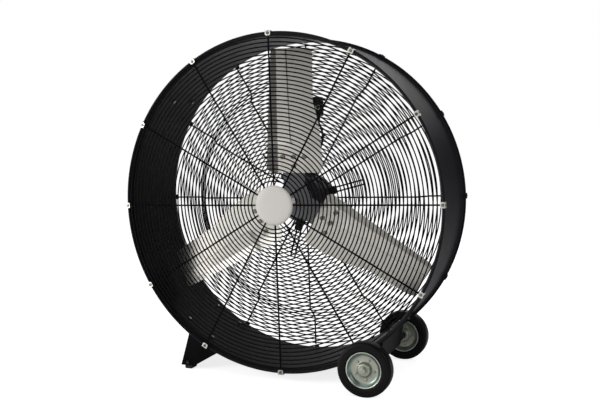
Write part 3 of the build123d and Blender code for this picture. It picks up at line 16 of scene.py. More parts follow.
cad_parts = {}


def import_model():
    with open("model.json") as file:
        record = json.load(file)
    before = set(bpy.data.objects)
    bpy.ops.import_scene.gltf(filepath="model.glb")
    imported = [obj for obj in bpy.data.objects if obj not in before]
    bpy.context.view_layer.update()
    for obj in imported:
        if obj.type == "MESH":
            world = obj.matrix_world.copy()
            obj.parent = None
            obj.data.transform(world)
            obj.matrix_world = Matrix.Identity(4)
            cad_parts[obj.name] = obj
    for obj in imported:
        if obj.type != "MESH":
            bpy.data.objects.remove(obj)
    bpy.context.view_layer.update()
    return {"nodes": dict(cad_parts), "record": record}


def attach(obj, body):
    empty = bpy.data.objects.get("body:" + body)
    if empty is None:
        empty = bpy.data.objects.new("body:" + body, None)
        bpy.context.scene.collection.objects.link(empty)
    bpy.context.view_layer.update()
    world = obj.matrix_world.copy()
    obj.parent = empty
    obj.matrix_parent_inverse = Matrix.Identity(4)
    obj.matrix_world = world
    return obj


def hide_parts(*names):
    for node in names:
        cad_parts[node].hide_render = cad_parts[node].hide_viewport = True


LOG = logging.getLogger("drum_fan")
MM = 0.001
NEAR = 1e-3
FAN_AXIS = Vector((0.0, 1.0, 0.0))
# Points on the hub's axis and on the wheels' axle, in millimetres.
HUB_Z = 523.0
HUB = Vector((0.0, 0.0, HUB_Z))
AXLE = Vector((287.0, 0.0, 78.0))

Vert, Face = bmesh.types.BMVert, bmesh.types.BMFace
Node, Socket, NodeTree = bpy.types.Node, bpy.types.NodeSocket, bpy.types.NodeTree
# Pairs are places along an axis and out from it, where nothing else is said.
Pairs = tuple[tuple[float, float], ...]
Triple = tuple[float, float, float]


class Body(Enum):
    """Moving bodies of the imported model."""

    FRAME = "fan_body"
    ROTOR = "rotor"
    WHEEL_FRONT = "wheel_front"
    WHEEL_REAR = "wheel_rear"
    KNOB = "knob"


# ---------------------------------------------------------------- finishes


def linear(colour: str) -> tuple[float, float, float, float]:
    """Turn an sRGB hex colour into linear light.

    Args:
        colour: Six hex digits with a leading hash.

    Returns:
        Red, green, blue and an alpha of one.
    """
    parts = [int(colour[place : place + 2], 16) / 255 for place in (1, 3, 5)]
    lit = [part / 12.92 if part <= 0.04045 else ((part + 0.055) / 1.055) ** 2.4 for part in parts]
    return (lit[0], lit[1], lit[2], 1.0)


@dataclass
class Graph:
    """A node tree while it is wired up."""

    tree: NodeTree

    def add(self, kind: str, settings: dict | None = None, links: dict | None = None) -> Node:
        """Add one node with its settings and incoming links.

        Args:
            kind: The node's type name, without its prefix.
            settings: Values by property or input name.
            links: Output sockets by input name or number.

        Returns:
            The new node.
        """
        node = self.tree.nodes.new(f"ShaderNode{kind}")
        for name, value in (settings or {}).items():
            if name in node.inputs:
                node.inputs[name].default_value = value
            else:
                setattr(node, name, value)
        for name, socket in (links or {}).items():
            self.tree.links.new(socket, node.inputs[name])
        return node

    def noise(self, size_mm: float, place: Socket, settings: dict) -> Socket:
        """Add a noise whose patches have a real size."""
        settings = {"Scale": 1 / (size_mm * MM), **settings}
        return self.add("TexNoise", settings, {"Vector": place}).outputs["Fac"]

    def remap(self, value: Socket, source: tuple[float, float], target: tuple[float, float]) -> Socket:
        """Stretch a value from one range to another."""
        settings = {"From Min": source[0], "From Max": source[1], "To Min": target[0], "To Max": target[1]}
        return self.add("MapRange", settings, {"Value": value}).outputs["Result"]

    def combine(self, operation: str, first: Socket, second: Socket) -> Socket:
        """Combine two values by a sum, a product or the like."""
        return self.add("Math", {"operation": operation}, {0: first, 1: second}).outputs["Value"]


@dataclass(frozen=True)
class Finish:
    """A surface with two close shades, an uneven gloss and a fine relief, each at a real size."""

    name: str
    base: str
    shade: str
    roughness: float
    metallic: float = 0.0
    roughness_spread: float = 0.05
    patch_mm: float = 60.0
    grain_mm: float = 1.5
    relief_mm: float = 0.02
    specular: float = 0.5

    def material(self) -> bpy.types.Material:
        """Build the material, once.

        Returns:
            The material, new or made before.
        """
        made = bpy.data.materials.get(self.name)
        if made is not None:
            return made
        made = bpy.data.materials.new(self.name)
        made.use_nodes = True
        graph = Graph(made.node_tree)
        shader = graph.tree.nodes["Principled BSDF"]
        shader.inputs["Metallic"].default_value = self.metallic
        shader.inputs["Specular IOR Level"].default_value = self.specular
        place = graph.add("TexCoord").outputs["Object"]
        for name, socket in self.surface(graph, place).items():
            graph.tree.links.new(socket, shader.inputs[name])
        return made

    def surface(self, graph: Graph, place: Socket) -> dict[str, Socket]:
        """Wire up the two shades, the gloss and the grain.

        Args:
            graph: The material's graph.
            place: Where on the object a point lies.

        Returns:
            Sockets by the shader input that they belong to.
        """
        patches = graph.noise(self.patch_mm, place, {"Detail": 4.0, "Roughness": 0.6})
        shades = graph.add("Mix", {"data_type": "RGBA"}, {"Factor": patches})
        shades.inputs[6].default_value = linear(self.base)
        shades.inputs[7].default_value = linear(self.shade)
        glosses = (self.roughness - self.roughness_spread, self.roughness + self.roughness_spread)
        grain = graph.noise(self.grain_mm, place, {"Detail": 2.0})
        bump = graph.add("Bump", {"Strength": 1.0, "Distance": self.relief_mm * MM}, {"Height": grain})
        return {
            "Base Color": shades.outputs[2],
            "Roughness": graph.remap(patches, (0.0, 1.0), glosses),
            "Normal": bump.outputs["Normal"],
        }


# Polyester powder, baked: an even satin black whose faint orange peel softens its reflections.
POWDER_COAT = Finish(
    "polyester_powder_coat", "#1d1d21", "#232327", 0.5,
    grain_mm=2.2, relief_mm=0.03, patch_mm=90, specular=0.045,
)
# The same powder on drawn wire, where it lies thinner and darker.
COATED_WIRE = Finish(
    "powder_coated_wire", "#0b0b0c", "#0f0f10", 0.5, grain_mm=1.0, relief_mm=0.015, specular=0.035
)
# Passivated zinc on pressed steel: pale, with warm and greenish clouds.
ZINC_PLATE = Finish(
    "passivated_zinc_plate", "#aaa99b", "#9aa195", 0.36,
    metallic=0.85, roughness_spread=0.04, patch_mm=30, relief_mm=0.002,
)
# The same zinc on the wheel's cone, bluer and darker than on the disc: the zinc's own blue film, with
# painted shade of the cone.
CONE_ZINC_PAINTED_SHADE = Finish(
    "blue_zinc_cone_painted_shade", "#8fa39b", "#7f948d", 0.3, metallic=0.9, patch_mm=25, relief_mm=0.001
)
# The rolled lip: a brighter zinc as a painted highlight.
LIP_ZINC_PAINTED_HIGHLIGHT = Finish(
    "zinc_lip_painted_highlight", "#e4e6dc", "#d6dacf", 0.3, metallic=0.7, patch_mm=12, relief_mm=0.001
)
# Clear-passivated zinc of the clips: neutral and brighter than the wheels.
CLIP_ZINC = Finish(
    "clear_zinc_spring_steel", "#dddcd6", "#cbcac2", 0.33, metallic=0.75, patch_mm=8, relief_mm=0.001
)
# Mill-finish aluminium sheet: satin, with a shallow grain from the rolls.
MILL_ALUMINIUM = Finish(
    "mill_finish_aluminium", "#c6c3bd", "#bcb9b2", 0.3,
    metallic=0.88, patch_mm=40, grain_mm=3.0, relief_mm=0.0015,
)
# A darker copy of the black for the foot's and the axle's brackets, low under the drum: painted shade,
# darker than the drum's powder.
BRACKET_BLACK_PAINTED_SHADE = Finish("bracket_black_painted_shade", "#070708", "#0a0a0b", 0.45, patch_mm=40, specular=0.04)
# Grey primer-like enamel on the spider and hub.
GREY_ENAMEL = Finish("grey_stoving_enamel", "#7a7a7d", "#727275", 0.4, patch_mm=30, grain_mm=1.6)
# Dull black enamel on the motor's castings, given a mid-grey base as painted light for where it sits in
# shade behind the guard and blades.
MOTOR_ENAMEL_PAINTED_LIGHT = Finish(
    "motor_enamel_painted_light", "#525258", "#5b5b62", 0.6,
    patch_mm=35, grain_mm=1.4, relief_mm=0.04, specular=0.1,
)
# Vulcanised solid rubber: a deep black with a low sheen from the mould.
TYRE_RUBBER = Finish(
    "vulcanised_tyre_rubber", "#0c0c0d", "#101011", 0.42, patch_mm=25, grain_mm=0.8, specular=0.12
)
# Softer moulded rubber of pads and grommets.
PAD_RUBBER = Finish(
    "moulded_pad_rubber", "#1f1e1d", "#252423", 0.6,
    patch_mm=15, grain_mm=0.7, relief_mm=0.03, specular=0.3,
)
# Moulded ABS of the badge: warm white, smooth, with a soft skin.
WARM_ABS = Finish("warm_white_abs", "#e6e2dc", "#e1ddd7", 0.35, patch_mm=50, grain_mm=0.8, relief_mm=0.004)
# Spark-eroded ABS of the switch box and knob.
BLACK_ABS = Finish(
    "textured_black_abs", "#151516", "#19191b", 0.5,
    patch_mm=20, grain_mm=0.5, relief_mm=0.03, specular=0.35,
)
# Blackened high-tensile screws: dull, with a faint brown cast.
BLACKENED_STEEL = Finish(
    "blackened_screw_steel", "#1c1b1a", "#232120", 0.42, patch_mm=5, grain_mm=0.6, specular=0.3
)
# Zinc of small screws that has dulled to a dark grey.
DULLED_ZINC = Finish(
    "dulled_zinc_screws", "#7d7870", "#67635c", 0.35, metallic=1.0, patch_mm=4, grain_mm=0.6
)
# Chloroprene cable sheath.
CABLE_RUBBER = Finish("chloroprene_sheath", "#151516", "#1a1a1b", 0.55, patch_mm=20, grain_mm=0.6)
# Ground and turned steel of shaft, bearings and laminations.
GROUND_STEEL = Finish("ground_steel", "#a8a8a8", "#999a9b", 0.28, metallic=1.0, patch_mm=10)
# Enamelled copper wire of the coils.
COPPER_WIRE = Finish("enamelled_copper", "#b0653a", "#9b5530", 0.35, metallic=1.0, patch_mm=6)

SLOT_FINISHES = {
    "drum": POWDER_COAT,
    "guard": COATED_WIRE,
    "zinc": ZINC_PLATE,
    "clip_black": POWDER_COAT,
    "badge": WARM_ABS,
    "rubber": PAD_RUBBER,
    "motor": MOTOR_ENAMEL_PAINTED_LIGHT,
    # The motor's finish is black enamel painted lighter grey as painted light.
    "steel": GROUND_STEEL,
    "copper": COPPER_WIRE,
    "box_plastic": BLACK_ABS,
    "knob": BLACK_ABS,
    "cable": CABLE_RUBBER,
    "spider": GREY_ENAMEL,
    "blade": MILL_ALUMINIUM,
    "tyre": TYRE_RUBBER,
}

# Nodes that the photograph shows darker than the finish of their slot.
NODE_FINISHES = {
    # The brackets under the drum get a darker black as painted shade.
    **dict.fromkeys(("foot_bracket", "axle_bracket"), BRACKET_BLACK_PAINTED_SHADE),
    **dict.fromkeys(("endbell_screws", "foot_pad_bolts"), BLACKENED_STEEL),
    **dict.fromkeys(("foot_bolts", "handle_bolts", "axle_bracket_bolts"), DULLED_ZINC),
    **dict.fromkeys(("blade_bolts", "hub_bolts"), DULLED_ZINC),
}

# Carried-over pieces whose pressed or moulded edges are eased, with the width in millimetres.
SOFTENED_EDGES = {
    "spider": 0.6,
    "hub": 0.8,
    "foot_bracket": 0.5,
    "axle_bracket": 0.5,
    "motor_mount_band": 0.5,
    "terminal_box": 1.0,
    "terminal_box_lid": 0.8,
    "foot_pads": 1.5,
    "axle_spacers": 0.4,
}


# ---------------------------------------------------------------- modelling helpers


def out_from_hub(angle: float, radius: float, y: float) -> Vector:
    """Point at an angle and radius about the hub axis, seen from the front, in millimetres."""
    turn = math.radians(angle)
    return Vector((radius * math.cos(turn), y, HUB_Z + radius * math.sin(turn)))


def direction(angle: float) -> Vector:
    """Unit vector outwards from the hub at an angle seen from the front."""
    return Vector((math.cos(math.radians(angle)), 0, math.sin(math.radians(angle))))


def only(kind: type, geometry: Iterable) -> list:
    """Elements of one kind among vertices, edges and faces."""
    return [item for item in geometry if isinstance(item, kind)]


def clamped(share: float) -> float:
    """A share held between 0 and 1."""
    return min(1.0, max(0.0, share))


@dataclass
class Workpiece:
    """A mesh being made in millimetres, and the moves that shape it."""

    name: str
    slot: str
    body: Body = Body.FRAME
    smooth_angle: float = 40.0
    mesh: bmesh.types.BMesh = field(default_factory=bmesh.new)

    def spin(self, geometry: list, centre: Vector, steps: int) -> None:
        """Sweep vertices and edges in a full turn about an axis along Y."""
        settings = {"axis": FAN_AXIS, "angle": math.tau, "steps": steps, "use_merge": True}
        bmesh.ops.spin(self.mesh, geom=geometry, cent=centre, **settings)

    def turn_profile(
        self, outline: Sequence[tuple], centre: Vector = HUB, steps: int = 128, closed: bool = True
    ) -> None:
        """Spin an outline about an axis along Y.

        Args:
            outline: Places along the axis and out from it.
            centre: A point on the axis.
            steps: Segments in the full turn.
            closed: Whether the outline's last point joins its first.
        """
        verts = [self.mesh.verts.new(centre + Vector((out, along, 0))) for along, out in outline]
        pairs = list(zip(verts, verts[1:]))
        if closed:
            pairs.append((verts[-1], verts[0]))
        self.spin(verts + [self.mesh.edges.new(pair) for pair in pairs], centre, steps)

    def copy_round(self, count: int, centre: Vector = HUB, made_before: int = 0) -> None:
        """Repeat geometry evenly about an axis along Y.

        Args:
            count: How many there are in the end.
            centre: A point on the axis.
            made_before: Number of first vertices that aren't repeated.
        """
        self.mesh.verts.ensure_lookup_table()
        verts = self.mesh.verts[made_before:]
        wanted = set(verts)
        edges = [edge for edge in self.mesh.edges if edge.verts[0] in wanted]
        faces = [face for face in self.mesh.faces if face.verts[0] in wanted]
        for step in range(1, count):
            copied = bmesh.ops.duplicate(self.mesh, geom=list(verts) + edges + faces)["geom"]
            turn = Matrix.Rotation(-math.tau * step / count, 3, "Y")
            bmesh.ops.rotate(self.mesh, verts=only(Vert, copied), cent=centre, matrix=turn)

    def turn_about_hub(self, degrees: float) -> None:
        """Turn everything about the hub axis, anticlockwise seen from the front."""
        turn = Matrix.Rotation(-math.radians(degrees), 3, "Y")
        bmesh.ops.rotate(self.mesh, verts=self.mesh.verts, cent=HUB, matrix=turn)

    def extrude(self, faces: list, travel: Vector, keep: bool = True) -> None:
        """Extrude faces by a vector, and keep them as the near side where a solid needs one."""
        made = bmesh.ops.extrude_face_region(self.mesh, geom=faces, use_keep_orig=keep)["geom"]
        bmesh.ops.translate(self.mesh, verts=only(Vert, made), vec=travel)

    def next_head(self, head: Face, first: bool) -> Face:
        """Extrude a wire's head in place, with its old face kept only at the wire's first end."""
        made = bmesh.ops.extrude_face_region(self.mesh, geom=[head], use_keep_orig=first)["geom"]
        return only(Face, made)[-1]

    def wire(self, start: Vector, aim: Vector, radius: float, moves: Sequence[tuple]) -> None:
        """Draw a round wire by straight runs and bends, as a bending tool does.

        Args:
            start: Centre of the wire's first end.
            aim: Direction in which it sets out.
            radius: The wire's radius.
            moves: ("run", length) or ("bend", degrees, radius, axis) in turn.
        """
        aim = aim.normalized()
        facing = Vector((0, 0, 1)).rotation_difference(aim).to_matrix().to_4x4()
        ring = bmesh.ops.create_circle(
            self.mesh, cap_ends=True, segments=10, radius=radius, matrix=Matrix.Translation(start) @ facing
        )["verts"]
        head = ring[0].link_faces[0]
        place = start.copy()
        first = True
        for kind, *sizes in moves:
            if kind == "run":
                head, first = self.next_head(head, first), False
                bmesh.ops.translate(self.mesh, verts=head.verts, vec=aim * sizes[0])
                place += aim * sizes[0]
                continue
            degrees, bend, axis = sizes
            centre = place + axis.normalized().cross(aim) * bend
            steps = max(3, round(abs(degrees) / 7))
            turn = Matrix.Rotation(math.radians(degrees / steps), 3, axis)
            for _step in range(steps):
                head, first = self.next_head(head, first), False
                bmesh.ops.rotate(self.mesh, verts=head.verts, cent=centre, matrix=turn)
                place = centre + turn @ (place - centre)
                aim = turn @ aim

    def plate(self, outline: Sequence[Vector], thickness: Vector) -> None:
        """Extrude a flat outline, its corners in order, into a plate."""
        face = self.mesh.faces.new([self.mesh.verts.new(corner) for corner in outline])
        self.extrude([face], thickness)

    def disc(
        self, base: Vector, axis: Vector, radius: float, height: float, sides: int, bevel: float = 0
    ) -> None:
        """Add a solid disc, pin or hexagon, bevelled at its far rim.

        Args:
            base: Centre of its near end.
            axis: Direction in which it stands.
            radius: Radius to its corners.
            height: Length along the axis.
            sides: Number of sides.
            bevel: Width of the bevel round its far end.
        """
        facing = Vector((0, 0, 1)).rotation_difference(axis).to_matrix().to_4x4()
        middle = Matrix.Translation(base + axis * height / 2) @ facing
        sizes = {"radius1": radius, "radius2": radius, "depth": height, "segments": sides}
        verts = bmesh.ops.create_cone(self.mesh, cap_ends=True, matrix=middle, **sizes)["verts"]
        if bevel:
            far = base + axis * height
            edges = {edge for vert in verts for edge in vert.link_edges}
            at_end = {vert for vert in verts if abs((vert.co - far).dot(axis)) < NEAR}
            self.round_off([edge for edge in edges if at_end.issuperset(edge.verts)], bevel)

    def edges_where(self, test: Callable[[Vector], bool], axis: int | None = None) -> list:
        """Find edges by their ends.

        Args:
            test: What both ends pass.
            axis: Number of the axis along which the edges run, if that counts.

        Returns:
            The edges found.
        """
        found = [edge for edge in self.mesh.edges if all(test(vert.co) for vert in edge.verts)]
        if axis is None:
            return found
        return [edge for edge in found if abs(edge.verts[0].co[axis] - edge.verts[1].co[axis]) > 1]

    def round_off(self, edges: Iterable, width: float, segments: int = 2) -> None:
        """Bevel edges.

        Args:
            edges: The edges.
            width: Width of the bevel.
            segments: Segments across it.
        """
        settings = {"offset_type": "OFFSET", "affect": "EDGES", "profile": 0.5, "material": -1}
        bmesh.ops.bevel(
            self.mesh, geom=list(edges), offset=width, segments=segments, clamp_overlap=True, **settings
        )

    def finish(self, replaces: Sequence[str] = (), material: Finish | None = None) -> bpy.types.Object:
        """Turn the workpiece into an object in metres, dressed and riding on its body.

        Args:
            replaces: CAD nodes that it stands for.
            material: Its finish, where it isn't its slot's own.

        Returns:
            The finished object.
        """
        bmesh.ops.remove_doubles(self.mesh, verts=self.mesh.verts, dist=1e-4)
        bmesh.ops.recalc_face_normals(self.mesh, faces=self.mesh.faces)
        bmesh.ops.scale(self.mesh, vec=Vector((MM, MM, MM)), verts=self.mesh.verts)
        data = bpy.data.meshes.new(self.name)
        self.mesh.to_mesh(data)
        self.mesh.free()
        for polygon in data.polygons:
            polygon.use_smooth = True
        data.set_sharp_from_angle(angle=math.radians(self.smooth_angle))
        data.materials.append((material or SLOT_FINISHES[self.slot]).material())
        piece = bpy.data.objects.new(self.name, data)
        bpy.context.scene.collection.objects.link(piece)
        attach(piece, self.body.value)
        if replaces:
            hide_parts(*replaces)
        LOG.info("%s: %d faces", self.name, len(data.polygons))
        return piece


# ---------------------------------------------------------------- drum and guards


@dataclass
class Drum:
    """The steel barrel with a flare and a rolled edge at each end."""

    half_depth: float = 149.0
    radius: float = 488.0
    sheet: float = 1.6
    bead: float = 3.5
    bead_centre: float = 496.0
    flare: float = 17.0
    flare_steps: int = 7

    def flare_line(self, inward: float) -> list[tuple[float, float]]:
        """Curve the rear flare from the barrel up to the rolled edge.

        Args:
            inward: How far the curve is moved inwards.

        Returns:
            Places along the hub axis and out from it.
        """
        start = self.half_depth - 2 * self.bead - self.flare
        rise = self.bead_centre - self.radius
        length = self.half_depth - self.bead - start
        places = [step / self.flare_steps for step in range(self.flare_steps)]
        return [(start + share * length, self.radius + rise * share**2 - inward) for share in places]

    def bead_line(self) -> list[tuple[float, float]]:
        """Draw the round of the rolled edge at the rear.

        Returns:
            Places from outside the flare to inside it.
        """
        centre = self.half_depth - self.bead
        turns = [math.radians(angle) for angle in range(150, -101, -25)]
        return [
            (centre + self.bead * math.cos(turn), self.bead_centre + self.bead * math.sin(turn))
            for turn in turns
        ]

    def build(self) -> None:
        """Make the barrel."""
        rear = self.flare_line(0.0) + self.bead_line() + self.flare_line(self.sheet)[::-1]
        front = [(-along, out) for along, out in reversed(rear)]
        work = Workpiece("drum_barrel", "drum")
        work.turn_profile(rear + front, steps=256)
        work.finish(["drum_shell"])


@dataclass
class Guards:
    """Both wire guards: round spokes, rings and the centre disc or ring that they meet at."""

    spokes: int = 12
    phase: float = 1.0
    spoke_wire: float = 2.5
    ring_wire: float = 1.95
    outer_ring: float = 480.0
    pitch: float = 11.7
    front_rings: int = 36
    rear_rings: int = 32
    front_y: float = -153.0
    rear_y: float = 153.0
    inner_y: float = 108.0
    step_outer: float = 403.0
    step_inner: float = 364.0
    disc_radius: float = 52.0
    disc_sheet: float = 2.0
    disc_weld: float = 8.0
    rear_hub_inner: float = 78.0
    rear_hub_outer: float = 82.0
    rear_hub_weld: float = 2.0
    clip_radius: float = 497.0
    eye_radius: float = 6.0
    eye_sheet: float = 2.6
    bend_radius: float = 8.0
    ring_lift: float = 3.36
    ring_sides: int = 8
    ring_steps: int = 168

    def build_rings(self, name: str, node: str, count: int, place: Callable[[float], float]) -> None:
        """Make one guard's rings, each a small circle spun about the hub axis.

        Args:
            name: The piece's name.
            node: The CAD node that it stands for.
            count: Number of rings.
            place: Gives a ring's Y from its radius.
        """
        work = Workpiece(name, "guard")
        circles: list = []
        for number in range(count):
            radius = self.outer_ring - number * self.pitch
            middle = Matrix.Translation((radius, place(radius), HUB_Z))
            verts = bmesh.ops.create_circle(
                work.mesh, segments=self.ring_sides, radius=self.ring_wire, matrix=middle
            )["verts"]
            circles += list(verts) + list({edge for vert in verts for edge in vert.link_edges})
        work.spin(circles, HUB, self.ring_steps)
        work.finish([node])

    def front_place(self, _radius: float) -> float:
        """Y of a front ring's centre, lying on the straight spokes."""
        return self.front_y - self.ring_wire

    def rear_place(self, radius: float) -> float:
        """Find where a rear ring lies on the cranked spokes.

        Args:
            radius: The ring's radius.

        Returns:
            Y of its centre.
        """
        climb = (radius - self.step_inner) / (self.step_outer - self.step_inner)
        slanted = self.inner_y + self.ring_lift + (self.rear_y - self.inner_y) * climb
        return min(self.rear_y + self.ring_wire, max(self.inner_y + self.ring_wire, slanted))

    def add_spokes(self, work: Workpiece, start: float, y: float, moves: list, eye_y: float) -> None:
        """Bend one spoke, flatten its eye and repeat both round the hub.

        Args:
            work: The piece to add to.
            start: Radius at which the spokes start.
            y: Y at which they start.
            moves: Runs and bends of the wire.
            eye_y: Y of the eyes' middle.
        """
        work.wire(out_from_hub(self.phase, start, y), direction(self.phase), self.spoke_wire, moves)
        place = out_from_hub(self.phase, self.clip_radius, eye_y + self.eye_sheet / 2)
        work.disc(place, -FAN_AXIS, self.eye_radius, self.eye_sheet, 20, bevel=0.5)
        work.copy_round(self.spokes)

    def build_front(self) -> None:
        """Make the front guard's spokes with their disc, and its rings."""
        work = Workpiece("front_guard_spokes", "guard")
        spoke_y = self.front_y + self.spoke_wire
        start = self.disc_radius - self.disc_weld
        length = self.clip_radius - self.eye_radius / 2 - start
        self.add_spokes(work, start, spoke_y, [("run", length)], spoke_y)
        hub = Vector((0, self.front_y + self.disc_sheet, HUB_Z))
        work.disc(hub, -FAN_AXIS, self.disc_radius, self.disc_sheet, 96, bevel=0.4)
        work.finish(["front_grille_spokes"])
        self.build_rings("front_guard_rings", "front_grille_rings", self.front_rings, self.front_place)

    def build_rear(self) -> None:
        """Make the rear guard's cranked spokes with their hub ring, and its rings."""
        work = Workpiece("rear_guard_spokes", "guard")
        outer_y, inner_y = self.rear_y - self.spoke_wire, self.inner_y - self.spoke_wire
        around = FAN_AXIS.cross(direction(self.phase))
        deep, wide = outer_y - inner_y, self.step_outer - self.step_inner
        slope = math.degrees(math.atan2(deep, wide))
        cut = self.bend_radius * math.tan(math.radians(slope / 2))
        start = self.rear_hub_outer - self.rear_hub_weld
        moves = [
            ("run", self.step_inner - start - cut),
            ("bend", -slope, self.bend_radius, around),
            ("run", math.hypot(deep, wide) - 2 * cut),
            ("bend", slope, self.bend_radius, around),
            ("run", self.clip_radius - self.eye_radius / 2 - self.step_outer - cut),
        ]
        self.add_spokes(work, start, inner_y, moves, outer_y)
        inner, outer = self.rear_hub_inner, self.rear_hub_outer
        front = self.inner_y - 2 * self.spoke_wire
        work.turn_profile([(front, inner), (self.inner_y, inner), (self.inner_y, outer), (front, outer)])
        work.finish(["rear_grille_spokes"])
        self.build_rings("rear_guard_rings", "rear_grille_rings", self.rear_rings, self.rear_place)

    def build(self) -> None:
        """Make both guards."""
        self.build_front()
        self.build_rear()


@dataclass
class Clips:
    """Sheet clips with a screw that hold both guards to the rolled edges."""

    count: int = 12
    phase: float = 1.0
    width: float = 16.5
    sheet: float = 1.4
    front_y: float = 154.5
    back_y: float = 140.2
    leg_radius: float = 487.5
    lip_radius: float = 493.0
    top_radius: float = 501.6
    corner: float = 4.5
    screw_radius: float = 494.2
    head_radius: float = 4.6
    head_height: float = 2.0
    head_bevel: float = 0.7
    socket_edge: float = 1.0
    socket_depth: float = 1.2

    def build_sheets(self, side: float, name: str, slot: str, node: str) -> None:
        """Make one guard's clips.

        Args:
            side: -1 for the front guard and +1 for the rear one.
            name: The piece's name.
            slot: Material slot of the clips.
            node: The CAD node that they stand for.
        """
        work = Workpiece(name, slot)
        inside, under = self.front_y - self.sheet, self.top_radius - self.sheet
        lip_end = self.back_y + self.sheet
        line = [
            (self.front_y, self.leg_radius), (self.front_y, self.top_radius),
            (self.back_y, self.top_radius), (self.back_y, self.lip_radius),
            (lip_end, self.lip_radius), (lip_end, under), (inside, under), (inside, self.leg_radius),
        ]
        corners = [Vector((out, side * along, HUB_Z - self.width / 2)) for along, out in line]
        work.plate(corners, Vector((0, 0, self.width)))
        bends = work.edges_where(lambda place: place.x > self.top_radius - 0.1, axis=2)
        work.round_off(bends, self.sheet * 0.8, segments=3)
        ends = work.edges_where(lambda place: abs(place.x - self.leg_radius) < 0.1, axis=1)
        work.round_off(ends, self.corner, segments=4)
        work.turn_about_hub(self.phase)
        work.copy_round(self.count)
        work.finish([node], material=CLIP_ZINC if slot == "zinc" else None)

    def build_screws(self, side: float, name: str, slot: str) -> None:
        """Make one guard's button-head screws with sunk sockets.

        Args:
            side: -1 for the front guard and +1 for the rear one.
            name: The piece's name.
            slot: Material slot of the clips.
        """
        work = Workpiece(name, slot, smooth_angle=50)
        out = FAN_AXIS * side
        base = out_from_hub(0.0, self.screw_radius, side * self.front_y)
        work.disc(base, out, self.head_radius, self.head_height, 18, bevel=self.head_bevel)
        end = side * (self.front_y + self.head_height)
        top = [face for face in work.mesh.faces if abs(face.calc_center_median().y - end) < NEAR]
        bmesh.ops.inset_individual(work.mesh, faces=top, thickness=self.socket_edge)
        for face in top:
            work.extrude([face], -out * self.socket_depth, keep=False)
        work.turn_about_hub(self.phase)
        work.copy_round(self.count)
        work.finish(material=DULLED_ZINC if slot == "zinc" else None)

    def build(self) -> None:
        """Make both sets."""
        for side, end, slot in ((-1.0, "front", "zinc"), (1.0, "rear", "clip_black")):
            self.build_sheets(side, f"{end}_guard_clips", slot, f"{end}_clips")
            self.build_screws(side, f"{end}_guard_clips_screws", slot)


@dataclass
class Badge:
    """The domed blank badge at the front guard's centre."""

    radius: float = 58.0
    back_y: float = -153.0
    edge_height: float = 3.2
    crown: float = 7.0
    edge_round: float = 1.6
    pinhole: float = 0.01

    def build(self) -> None:
        """Make the badge."""
        work = Workpiece("centre_badge", "badge", smooth_angle=60)
        edge_y = self.back_y - self.edge_height
        inner = self.radius - self.edge_round
        line = [(self.back_y, self.pinhole), (self.back_y, self.radius)]
        for turn in (0.0, 0.5, 1.0, 1.57):
            along = edge_y + self.edge_round - self.edge_round * math.sin(turn)
            line.append((along, inner + self.edge_round * math.cos(turn)))
        for angle in range(0, 91, 10):
            turn = math.radians(angle)
            along = edge_y - (self.crown - self.edge_height) * (1 - (1 - math.sin(turn)) ** 2)
            line.append((along, inner * math.cos(turn) + self.pinhole))
        work.turn_profile(line, steps=96, closed=False)
        work.finish(["center_badge"])


# ---------------------------------------------------------------- rotor


